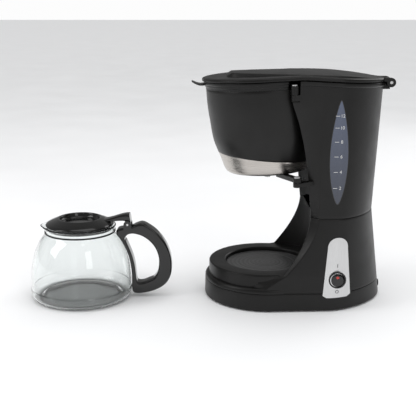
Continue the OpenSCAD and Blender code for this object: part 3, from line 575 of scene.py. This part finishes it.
def tower_ring(z, w=0.0, r=BAY_R, soft=1.3, pocket=False, lift=None):
    """Closed outline at height z; lift(y) bends it along the tower's sloping top."""
    left = [(-p[0], p[1]) for p in reversed(tower_half(z, w, r, soft)[1:-1])]
    pts = tower_half(z, w, r, soft, pocket) + left
    return [(x, y, (z if lift is None else lift(y))) for x, y in pts]


def roof(y):
    return (y - RIDGE_Y) * math.tan(TILT) if y < RIDGE_Y else (RIDGE_Y - y) * math.tan(REAR_SLOPE)


def levels(low, high, step):
    n = max(1, round((high - low) / step))
    return [low + (high - low) * k / n for k in range(n + 1)]


# ---------------------------------------------------------------- base

def skirt_ring(z, w):
    turns = [math.radians(-90 + 88 * k / 40) for k in range(41)]
    r = BASE_R - 0.4 * z / 27 - w
    half = [(r * math.cos(t), r * math.sin(t)) for t in turns] + rear_half(z, w)
    half[0] = (0.0, -r)
    return [(x, y, z) for x, y in mirror_ring(half)]


def make_base():
    shell = Shape()
    groove = 25.0
    outer = [(2.0, 1.0), (2.3, 0.3), (3.2, 0.0)] + [(z, 0.0) for z in levels(5, groove - 0.9, 3.5)]
    outer += [(groove - 0.5, 0.1), (groove - 0.2, 0.7), (groove, 0.8)]
    inner = [(groove, 2.5), (2.0, 2.5)]
    shell.rings([skirt_ring(z, w) for z, w in outer + inner], profile_loop=True)
    shoulder = [(60, 20), (BASE_R - 3, 20), (BASE_R - 1.2, groove), (BASE_R - 0.6, groove + 0.3),
                (BASE_R - 0.4, groove + 0.9), (BASE_R - 0.4, 27)]
    shoulder += [(TIER_R + 0.6 + 5 * math.cos(t), 27 + 5.5 * math.sin(t))
                 for t in [math.pi / 2 * k / 10 for k in range(1, 11)]]
    shoulder += rounded([(TIER_R + 0.1, 32.8), (TIER_R, RING_H), (RECESS_R + 1.6, RING_H),
                         (RECESS_R, RING_H - 1.5), (RECESS_R, 40)], [0, 2.4, 0.5, 0.5, 0], 6)
    shell.lathe(shoulder, 192)
    low = [z for z in levels(groove + 0.9, RING_H - 0.03, 2.4)]
    rings = [tower_ring(groove, 0.7, 76), tower_ring(groove + 0.3, 0.3, 76)]
    rings += [tower_ring(z, 0, 76) for z in low]
    rings += [tower_ring(z) for z in [RING_H - 0.03] + levels(RING_H + 0.8, SEAM_H - 0.7, 2.4)]
    rings += [tower_ring(SEAM_H - 0.25, 0.25), tower_ring(SEAM_H, 0.7, BAY_R + 0.7)]
    rings += [tower_ring(SEAM_H, 2.5, BAY_R + 2.5)]
    shell.rings(rings, cap_start=True)
    shell.piece("base_shell", "black_plastic", "machine", ["base_housing"])


def make_hot_plate():
    z = RING_H - 5
    profile = [(0, z), (20, z), (20.6, z - 0.25), (21.2, z), (38, z), (38.6, z - 0.25), (39.2, z), (50.5, z),
               (51.5, z + 0.05), (54.6, z + 0.05), (55.3, z - 0.3), (55.6, z - 1.1), (0, z - 1.2)]
    profile = rounded(profile, 0.3, 2)
    Shape().lathe(profile, 160).piece("hot_plate_disc", "plate_paint", "machine", ["hot_plate"], sharp=60)


# ---------------------------------------------------------------- tank housing

def make_tank_housing():
    top = TOWER_H - 3
    rings = [tower_ring(SEAM_H, 2.5, BAY_R + 2.5), tower_ring(SEAM_H, 0.7, BAY_R + 0.7)]
    rings += [tower_ring(SEAM_H + 0.25, 0.25)]
    rings += [tower_ring(z) for z in levels(SEAM_H + 0.7, POCKET_Z, 3)]
    rings += [tower_ring(z, pocket=True) for z in levels(POCKET_Z, 286, 3)]
    bead = [(0, -6.4), (0, -6.0)]
    bead += [(-1.8 * math.sin(t), -4.0 - 2.0 * math.cos(t)) for t in [math.pi * k / 12 for k in range(1, 7)]]
    bead += [(-1.8, -2.6), (-1.7, -1.2), (-1.2, -0.4), (-0.4, 0.0), (1.0, 0.0), (2.0, -0.2), (2.4, -0.8)]
    for w, h in bead:
        r = BAY_R + max(0.0, w)
        rings.append(tower_ring(top, w, r, pocket=True, lift=lambda y, h=h: TOWER_H + h + roof(y)))
    rings += [tower_ring(z, 2.5, BAY_R + 2.5, pocket=True) for z in (286, 276.5)]
    rings += [tower_ring(z, 2.5, BAY_R + 2.5) for z in (276, 200, 127.5)]
    shell = Shape().rings(rings, cap_end=True)
    shell.piece("tank_shell", "black_plastic", "machine", ["tank_housing"], sharp=35)


GAUGE_Y, GAUGE_LOW, GAUGE_HIGH, GAUGE_W = 86.0, 145.0, 278.0, 11.6


def leaf_width(t, d=0.0):
    return (GAUGE_W - d) * math.sin(math.pi * min(1, max(0, t)) ** 0.86) ** 0.75


def surface_patch(rows, thick, proud, columns=10):
    """A plate that follows the tower's side. rows are (z, low y, high y)."""
    shape = Shape()
    outer = []
    for z, y0, y1 in rows:
        across = [y0 + (y1 - y0) * k / columns for k in range(columns + 1)]
        outer.append([(side_surface(y, z) + proud, y, z) for y in across])
    inner = [[(x - thick, y, z) for x, y, z in row] for row in outer]
    shape.rings(outer, loop=False)
    shape.rings(inner, loop=False)
    left, right = [row[0] for row in outer], [row[-1] for row in outer]
    edge = left + outer[-1][1:] + right[-2::-1] + outer[0][-2:0:-1]
    back = [(x - thick, y, z) for x, y, z in edge]
    shape.rings([edge, back])
    return shape


def make_gauge():
    rows = []
    for k in range(49):
        t = 0.5 - 0.5 * math.cos(math.pi * (0.012 + 0.976 * k / 48))
        z = GAUGE_LOW + (GAUGE_HIGH - GAUGE_LOW) * t
        rows.append((z, GAUGE_Y - leaf_width(t), GAUGE_Y + leaf_width(t)))
    pane = surface_patch(rows, 1.6, 0.12)
    pane.piece("gauge_pane", "gauge_plastic", "machine", ["gauge_window"], bevel=0.25)
    wider = [(z + (0.7 if k > 24 else -0.7) * abs(k - 24) / 24, y0 - 0.55, y1 + 0.55)
             for k, (z, y0, y1) in enumerate(rows)]
    surface_patch(wider, 1.0, 0.05).piece("gauge_gap", "print_black", "machine")
    for count, z in [(12, 259), (10, 244), (8, 226), (6, 207), (4, 187), (2, 166)]:
        tick = [(z + h, GAUGE_Y - 6.4, GAUGE_Y - 1.2) for h in (-0.3, 0.3)]
        surface_patch(tick, 0.1, 0.2, 4).piece(f"gauge_tick_{count}", "print_white", "machine")
        flat_text(str(count), f"gauge_number_{count}", GAUGE_Y + 2.6, z, 4.4, 0.22, "print_white")


def flat_text(words, name, y, z, height, proud, material):
    """Small printed figure on the tower's side, read from +X."""
    data = bpy.data.curves.new(name, "FONT")
    data.body = words
    data.size = height * 1.35 * MM
    data.align_x = "CENTER"
    data.align_y = "CENTER"
    data.extrude = 0.03 * MM
    data.materials.append(MATERIALS[material])
    obj = bpy.data.objects.new(name, data)
    bpy.context.scene.collection.objects.link(obj)
    lean = (side_surface(y, z + 1) - side_surface(y, z - 1)) / 2
    turn = (side_surface(y + 1, z) - side_surface(y - 1, z)) / 2
    normal = Vector((1, -turn, -lean)).normalized()
    right = Vector((0, 1, 0)) - normal * normal.y
    right.normalize()
    up = normal.cross(right)
    basis = Matrix((right, up, normal)).transposed().to_4x4()
    obj.matrix_world = Matrix.Translation(place((side_surface(y, z) + proud, y, z))) @ basis
    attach(obj, "machine")


# ---------------------------------------------------------------- switch

SWITCH_Y, SWITCH_Z, SWITCH_FACE = 89.0, 44.0, 79.6
PLATE_LOW, PLATE_HIGH, PLATE_ARCH = 20.5, 100.5, 13.6


def make_switch():
    rows = []
    bottom = 19.2
    centre_z = PLATE_HIGH - PLATE_ARCH
    for z in levels(PLATE_LOW - 1.0, centre_z, 3):
        t = (z - PLATE_LOW) / (centre_z - PLATE_LOW)
        w = bottom + (PLATE_ARCH * 0.99 - bottom) * max(0, t)
        if z < PLATE_LOW:
            w = bottom * 0.72
        rows.append((z, SWITCH_Y - w, SWITCH_Y + w))
    for k in range(1, 15):
        a = math.pi / 2 * k / 15
        rows.append((centre_z + PLATE_ARCH * math.sin(a), SWITCH_Y - PLATE_ARCH * math.cos(a),
                     SWITCH_Y + PLATE_ARCH * math.cos(a)))
    panel = surface_patch(rows, 1.1, 1.1, 14)
    panel.piece("switch_plate_panel", "silver_trim", "machine", ["switch_plate"], bevel=0.5)

    def on_switch(p):
        return place((SWITCH_FACE + p[2], SWITCH_Y + p[0], SWITCH_Z + p[1]))

    bezel = [(9.5, -9), (9.5, 1.6), (9.9, 2.0), (10.7, 2.0), (11.5, 1.4), (11.6, 0.2), (10.2, 0.2),
             (10.2, -18), (9.4, -18)]
    collar = Shape(on_switch).lathe(rounded(bezel, 0.25, 2), 72)
    collar.piece("switch_bezel", "black_gloss", "machine", ["switch_body"])
    make_rocker()
    flat_text("I", "mark_on", SWITCH_Y, 62.5, 5.2, 1.25, "print_black")
    flat_text("O", "mark_off", SWITCH_Y, 27.5, 4.8, 1.25, "print_black")


def make_rocker():
    turn = Matrix.Rotation(math.radians(7), 4, "Y")

    def on_rocker(p):
        return place(Vector((SWITCH_FACE - 5, SWITCH_Y, SWITCH_Z)) + (turn @ Vector(p)))

    def face_ring(r, raised, steps, z0=0.0):
        """Ring of radius r about height z0 on the rocker's two-sided face."""
        turns = [TAU * k / steps for k in range(steps)]
        return [(6.4 + abs(z0 + r * math.sin(a)) * math.tan(math.radians(7)) + raised, r * math.cos(a),
                 z0 + r * math.sin(a)) for a in turns]

    foot = [(1.4, 8.2 * math.cos(TAU * k / 64), 8.2 * math.sin(TAU * k / 64)) for k in range(64)]
    edge = [(8.2, -0.5), (8.0, -0.12), (7.6, 0), (6, 0), (4.5, 0), (3, 0), (1.5, 0), (0.01, 0)]
    cap = Shape(on_rocker).rings([foot] + [face_ring(r, h, 64) for r, h in edge], cap_start=True)
    cap.piece("rocker_cap", "black_gloss", "switch", ["rocker"], sharp=60)
    dome = [(2.0, -0.6), (2.0, 0.1), (1.7, 0.22), (1.0, 0.3), (0.01, 0.32)]
    lens = Shape(on_rocker).rings([face_ring(r, h, 32, 4.6) for r, h in dome], cap_start=True)
    lens.piece("rocker_window", "red_lens", "switch", ["rocker_lens"], sharp=60)


# ---------------------------------------------------------------- lid

LID_H = 122.6
LID_R = 82.5
LID_Y = -LID_H * math.sin(TILT)
LID_LOW = BASKET_Z + LID_H * math.cos(TILT) + (RIDGE_Y - LID_Y) * math.tan(TILT)


def lid_half(inset):
    """Half outline of the lid from the front to the rear, moved inwards by inset."""
    r = LID_R - inset
    turns = [math.radians(86) * k / 40 for k in range(41)]
    front = [(r * math.sin(t), LID_Y - r * math.cos(t)) for t in turns]
    front[0] = (0.0, LID_Y - r)
    rear = rear_half(TOWER_H, inset - 2.0)
    waist = [(front[-1][0] + (rear[0][0] - front[-1][0]) * t, front[-1][1] + (rear[0][1] - front[-1][1]) * t)
             for t in [k / 12 for k in range(1, 12)]]
    return front + waist + rear


def lid_ring(inset, height):
    return [(x, y, LID_LOW + height + roof(y)) for x, y in mirror_ring(lid_half(inset))]


PANEL_Y = [-56.0, 140.0]


def panel_half_width(y):
    full = smooth([(-56, 30), (-17, 44), (20, 57), (58, 69), (90, 69), (115, 58), (140, 34)], y)
    if y < -40:
        full *= math.sqrt(max(0.0, 1 - ((-40 - y) / 16.2) ** 2)) * 0.35 + 0.65
    return full


def panel_top(y):
    return smooth([(-56, 308.9), (-17, 309.3), (30, 309.3), (60, 309.1), (90, 308.1), (120, 305.7),
                   (140, 303.4)], y)


def make_lid():
    edge = [(9, 0.4), (3, 0.4), (2.6, 0.0), (0.5, 0.0), (0.1, 0.25), (0, 0.7), (0, 3.0), (0.3, 3.5),
            (1.0, 3.9), (3.6, 4.7), (5.0, 4.9), (9, 4.9), (24, 4.9)]
    rings = [lid_ring(i, h) for i, h in edge]
    shape = Shape().rings(rings, cap_start=True, cap_end=True)
    shape.piece("lid_plate", "black_plastic", "top_lid", ["lid"], sharp=40)
    ears = Shape()
    for side in (-1, 1):
        ears.rings(hinge_ear(side), cap_start=True, cap_end=True)
    ears.piece("lid_ears", "black_plastic", "top_lid", bevel=0.5, sharp=50)
    rings = []
    for k in range(61):
        y = PANEL_Y[0] + (PANEL_Y[1] - PANEL_Y[0]) * k / 60
        w, base = panel_half_width(y), LID_LOW + 4.4 + roof(y)
        top = max(base + 0.2, panel_top(y))
        s = min(5.0, (top - base) * 0.7)
        end = min(1.0, (k + 0.2) / 2.2)
        top = base + (top - base) * (0.3 + 0.7 * end) if k < 3 else top
        half = rounded([(w, base), (w - s, top), (0, top + 0.2)], [0, 1.2, 0], 5)
        rings.append([(-x, y, z) for x, z in half] + [(x, y, z) for x, z in reversed(half[:-1])])
    shape = Shape().rings(rings, cap_start=True, cap_end=True)
    shape.piece("lid_raised_panel", "black_plastic", "top_lid", ["lid_panel"], sharp=30)


LID_PIVOT = (160.0, 296.0)


def hinge_ear(side):
    """Two cross-sections of an ear: a round barrel about the lid's pin with a strap on to the lid."""
    y0, z0 = LID_PIVOT
    r = 6.1
    turns = [math.radians(100 - 290 * k / 30) for k in range(31)]
    outline = [(y0 + r * math.cos(t), z0 + r * math.sin(t)) for t in turns]
    outline += [(y0 - 9, z0 + 1.6), (146, z0 + 3.0), (146, z0 + 6.4), (y0 - 6, z0 + 6.2)]
    return [[(side * x, y, z) for y, z in outline] for x in (12.0, 20.2)]


# ---------------------------------------------------------------- brew basket

WALL = [(0, 55.3), (5.4, 58.3), (16.6, 61.9), (28, 66.2), (44, 71.3), (66, 74.3), (88, 76.8), (111.5, 77.8)]
BAND_T = 0.8


def wall_r(h):
    return smooth(WALL, h)


def band_top(y):
    """Height of the band's slanting top edge."""
    return 19 - math.tan(math.radians(7.3)) * y


def basket_grid(profile, steps=144):
    """profile(angle) gives the same number of (radius, height) points for every angle."""
    columns = []
    for k in range(steps):
        a = TAU * k / steps
        columns.append([(r * math.cos(a), r * math.sin(a), h) for r, h in profile(a)])
    return [[c[i] for c in columns] for i in range(len(columns[0]))]


def cut_height(angle, shift=0.0):
    """Height where the band's slanting top plane meets the wall at this angle."""
    h = 19.0
    for _ in range(6):
        h = band_top(wall_r(h) * math.sin(angle)) + shift
    return h


def make_basket():
    def shell(a):
        top = cut_height(a, 0.35)
        low = [(5.06, -5), (8.6, -5), (9, -4.6), (9, -0.8), (53.2, -0.8), (54.2, -0.3)]
        low += [(wall_r(top * t) - BAND_T - 0.05, top * t) for t in (0.02, 0.2, 0.4, 0.6, 0.8, 1.0)]
        high = [(wall_r(top) - 0.35, top + 0.02), (wall_r(top + 0.4), top + 0.4)]
        high += [(wall_r(h), h) for h in (top + (111 - top) * k / 24 for k in range(1, 25))]
        rim = [(wall_r(111) - 0.3, 111.5), (wall_r(111) - 2.2, 111.5)]
        inside = [(wall_r(2.4 + 108 * t) - 2.4, 2.4 + 108 * t) for t in (1, 0.75, 0.5, 0.25, 0.1, 0.0)]
        return low + high + rim + inside + [(9, 2.4), (5.06, 2.4)]
    Shape(in_basket).rings(basket_grid(shell), profile_loop=True).piece(
        "basket_shell", "black_plastic", "brew_basket", ["basket"], sharp=35)

    def band(a):
        top = cut_height(a)
        outer = [(wall_r(top * t), top * t) for t in [0.03, 0.1, 0.25, 0.4, 0.55, 0.7, 0.85, 0.97]]
        edge = [(wall_r(top) - 0.12, top), (wall_r(top) - 0.6, top - 0.02)]
        inner = [(wall_r(top * 0.5) - 0.7, top * 0.5), (54.4, 0.5)]
        return [(54.6, 0.05), (55.0, 0.15)] + outer + edge + inner
    Shape(in_basket).rings(basket_grid(band), profile_loop=True).piece(
        "band_sleeve", "band_steel", "brew_basket", ["steel_band"], sharp=40)
    make_basket_rim()


RIM_CUT = 26.0
PIVOT = (76.5, 33.0)


def make_basket_rim():
    """Two-step bead round the front of the basket; it stops where the tower begins."""
    profile = rounded([(75, 111.6), (77.9, 111.6), (77.9, 114.2), (79.0, 115.0), (79.0, 117.6), (80.0, 118.4),
                       (80.0, 122), (75, 122)], [0, 0.3, 0.4, 0.7, 0.35, 0.5, 1.4, 0], 4)
    rings = []
    for k in range(121):
        start = math.asin(RIM_CUT / 80)
        a = start - (math.pi + 2 * start) * k / 120
        rings.append([(r * math.cos(a), r * math.sin(a), h) for r, h in profile])
    shape = Shape(in_basket).rings(rings, cap_start=True, cap_end=True)
    shape.piece("basket_bead", "black_plastic", "brew_basket", ["basket_rim"], sharp=40)
    line = bezier((-77.6, 118.6), (-84, 117.2), (-88, 117.6), (-96.2, 122.9), 20)
    rings = []
    for i, (y, h) in enumerate(line):
        t = i / 20
        w = 15.5 - 2.5 * t - (4.5 * ((t - 0.8) / 0.2) ** 2 if t > 0.8 else 0)
        thick = 1.6 - 0.75 * t
        turns = [TAU * j / 32 for j in range(32)]
        rings.append([(squared(math.cos(a), 0.45) * w, y, h + squared(math.sin(a), 0.6) * thick)
                      for a in turns])
    Shape(in_basket).rings(rings, cap_start=True, cap_end=True).piece(
        "pull_tab", "black_plastic", "brew_basket", sharp=50)


def make_hinge_arm():
    """Arm under the drum: a round boss about the lower pin, running back into the wing's front facet."""
    x, y = PIVOT
    turn = Matrix.Rotation(math.radians(24), 2)
    outline = [(5.5 * math.cos(a), 5.5 * math.sin(a)) for a in [math.pi * (1 + k / 20) for k in range(21)]]
    outline += [(5.2, 8), (4.0, 16), (3.6, 27), (-3.6, 27), (-4.0, 16), (-5.2, 8)]
    outline = [turn @ Vector(p) for p in outline]
    rings = [[(x + p.x, y + p.y, h) for p in outline] for h in (-12.9, -7.1)]
    shape = Shape(in_basket).rings(rings, cap_start=True, cap_end=True)
    shape.piece("hinge_arm", "black_plastic", "machine", ["lower_bracket"], bevel=0.7, segments=3)


# ---------------------------------------------------------------- carafe

def glass_profile():
    """Outside of the jug: rounded foot, a low band, the belly, the neck and the lip."""
    outer = rounded([(52, 0.6), (56, 0), (64, 0), (69.9, 6), (69.9, 15.4), (68.7, 17.6), (68.7, 22)],
                    [0, 1, 5, 5, 1.6, 1.2, 0], 6)
    outer += bezier((68.7, 22), (69.2, 46), (66.2, 62), (56, 81), 26)[1:]
    outer += bezier((56, 81), (52, 88), (47.4, 90.5), (47.4, 95), 12)[1:]
    outer += bezier((47.4, 95), (47.4, 98), (48.6, 100), (49.3, 101.2), 6)[1:]
    return outer


def make_carafe():
    outer = glass_profile()
    inner = []
    for i in range(len(outer)):
        a, b = Vector(outer[max(0, i - 1)]), Vector(outer[min(len(outer) - 1, i + 1)])
        t = (b - a).normalized()
        inner.append((outer[i][0] - t.y * 2.0, outer[i][1] + t.x * 2.0))
    lip = [(48.9, 101.9), (47.9, 101.9)]
    wall = [p for p in inner if p[1] > 3.2 or p[0] < 50]
    profile = [(0, 2.6), (30, 2.6), (48, 2.2), (50.5, 1.4)] + outer + lip + list(reversed(wall))
    profile += [(48, 4.6), (30, 5.0), (0, 5.0)]

    def spouted(p):
        """Draws the neck's rim out into a pouring lip at the front."""
        x, y, z = p
        a = math.atan2(x, -y)
        pull = max(0.0, 1 - abs(a) / 0.52) ** 2 * (3 - 2 * max(0.0, 1 - abs(a) / 0.52))
        lift = min(1.0, max(0.0, (z - 94) / 7.9)) ** 1.5
        return in_carafe((x, y - 5.4 * pull * lift, z))
    Shape(spouted).lathe(profile, 160).piece(
        "carafe_jug", "carafe_glass", "carafe", ["carafe_glass"], sharp=70)
    band = rounded([(47.5, 92.7), (48.55, 92.8), (48.55, 94.8), (47.5, 94.9)], 0.3, 3)
    Shape(in_carafe).lathe(band, 128, profile_loop=True).piece(
        "neck_ring", "black_plastic", "carafe", ["carafe_band"])
    make_handle()
    make_pour_lid()


def closed_curve(points, per):
    """Smooth closed curve through points, with per steps for each span."""
    out = []
    n = len(points)
    for i in range(n):
        a, b, c, d = (Vector(points[(i + k) % n]) for k in (-1, 0, 1, 2))
        for k in range(per):
            t = k / per
            out.append(0.5 * (2 * b + (c - a) * t + (2 * a - 5 * b + 4 * c - d) * t * t
                              + (3 * b - a - 3 * c + d) * t ** 3))
    return out


# The grip's loop: at each station (outer y, outer z, inner y, inner z), then down the glass and back
HANDLE = [
    (52.2, 97.4, 62.6, 85.5), (60.4, 99.4, 66.5, 89.6), (70, 100.4, 72.4, 90.9),
    (77.6, 104, 78, 90), (86, 106.2, 83.5, 88.2), (94.6, 102.4, 88.6, 85.6),
    (106.5, 93.2, 96, 79.8), (117.5, 78.5, 103, 71), (124, 62.5, 107.2, 60),
    (126.2, 47, 108.2, 50), (124.6, 31.5, 106.4, 37.5), (117.4, 18.8, 101, 28.4),
    (104.5, 10.4, 93, 24.4), (88, 5.6, 85.4, 21.6), (74.4, 5.2, 79.2, 21.8),
    (70.6, 10.6, 77, 25.8), (70.4, 24, 76.4, 33), (70.1, 38, 75, 46), (67.3, 56, 72, 59),
    (62.2, 71, 67.6, 71), (55.6, 83.5, 64, 79.5), (50.2, 91, 62, 82.5),
]


def make_handle():
    outer = closed_curve([(a, b) for a, b, _, _ in HANDLE], 6)
    inner = closed_curve([(c, d) for _, _, c, d in HANDLE], 6)
    rings = []
    for o, i in zip(outer, inner):
        rings.append(band_section(o, i, 9.9))
    shape = Shape(in_carafe).rings(rings, profile_loop=True)
    y, z = centre("carafe_lid_pin").y / MM - AXIS_Y - CARAFE.y, centre("carafe_lid_pin").z / MM
    for side in (-1, 1):
        turns = [math.radians(180 - 180 * k / 16) for k in range(17)]
        top = [(y + 5.2 * math.cos(t), z + 5.2 * math.sin(t)) for t in turns]
        cheek = [(y - 5.6, z - 9), *top, (y + 6, z - 9)]
        slices = [[(side * x, *p) for p in cheek] for x in (7.9, 8.2, 9.6, 9.9)]
        shape.rings(slices, cap_start=True, cap_end=True)
    shape.piece("handle_grip", "black_gloss", "carafe", ["carafe_handle"], sharp=55)


def band_section(outer, inner, width, corner=0.36):
    """Rounded-rectangle ring from an inner to an outer point of a loop, width to each side."""
    mid, half = (Vector(outer) + Vector(inner)) / 2, (Vector(outer) - Vector(inner)) / 2
    ring = []
    for k in range(44):
        s = TAU * k / 44
        ring.append((squared(math.cos(s), corner) * width, *(mid + half * squared(math.sin(s), corner))))
    return ring


def make_pour_lid():
    top = [(0, 106.2), (20, 106.2), (25.2, 106.6), (26.4, 108.6), (27.2, 111.6), (28.6, 112.5), (30.6, 112.1),
           (38, 109.2), (44, 106.4), (46.4, 104.6), (46.8, 103.4), (46.4, 102.7), (43.2, 102.6), (43, 97.2),
           (42.6, 97), (41.2, 97), (41, 103.6), (0, 103.6)]
    Shape(in_carafe).lathe(rounded(top, 0.8, 3), 128).piece(
        "pour_lid_disc", "black_gloss", "pour_lid", ["carafe_lid"], sharp=50)
    upper = bezier((33, 110.6), (46, 112.2), (58, 119.4), (69, 118.6), 16)
    lower = bezier((33, 107.6), (48, 106.8), (60, 110.4), (70.8, 106.2), 16)
    rings = []
    for k, (top_point, low_point) in enumerate(zip(upper, lower)):
        rings.append(band_section(top_point, low_point, 9 - 1.8 * math.sin(math.pi * k / 16), 0.5))
    Shape(in_carafe).rings(rings, cap_start=True, cap_end=True).piece(
        "pour_lever", "black_gloss", "pour_lid", sharp=50)


# ---------------------------------------------------------------- CAD nodes that stay

def finish_cad_nodes():
    """Every node that is still shown gets its slot's procedural material and softened edges."""
    slot_of = {s["node"]: s["material_slot"] for s in frame["record"]["subparts"]}
    for name, obj in frame["nodes"].items():
        if obj.hide_render:
            continue
        material = MATERIALS["filter_cloth"] if name == "filter_mesh" else MATERIALS[slot_of[name]]
        obj.data.materials.clear()
        obj.data.materials.append(material)
        for polygon in obj.data.polygons:
            polygon.material_index = 0
            polygon.use_smooth = True
        obj.data.set_sharp_from_angle(angle=math.radians(30))
        if name in ("upper_bracket", "basket_arm", "lid_bracket", "spout_arm"):
            add_bevel(obj, 0.5)


def make_floor():
    mesh = bpy.data.meshes.new("floor")
    mesh.from_pydata([(-60, -60, 0), (60, -60, 0), (60, 60, 0), (-60, 60, 0)], [], [(0, 1, 2, 3)])
    mesh.materials.append(MATERIALS["floor"])
    floor = bpy.data.objects.new("floor", mesh)
    bpy.context.scene.collection.objects.link(floor)


make_camera()
make_studio()
make_floor()
make_base()
make_hot_plate()
make_tank_housing()
make_gauge()
make_switch()
make_lid()
make_basket()
make_hinge_arm()
make_carafe()
finish_cad_nodes()
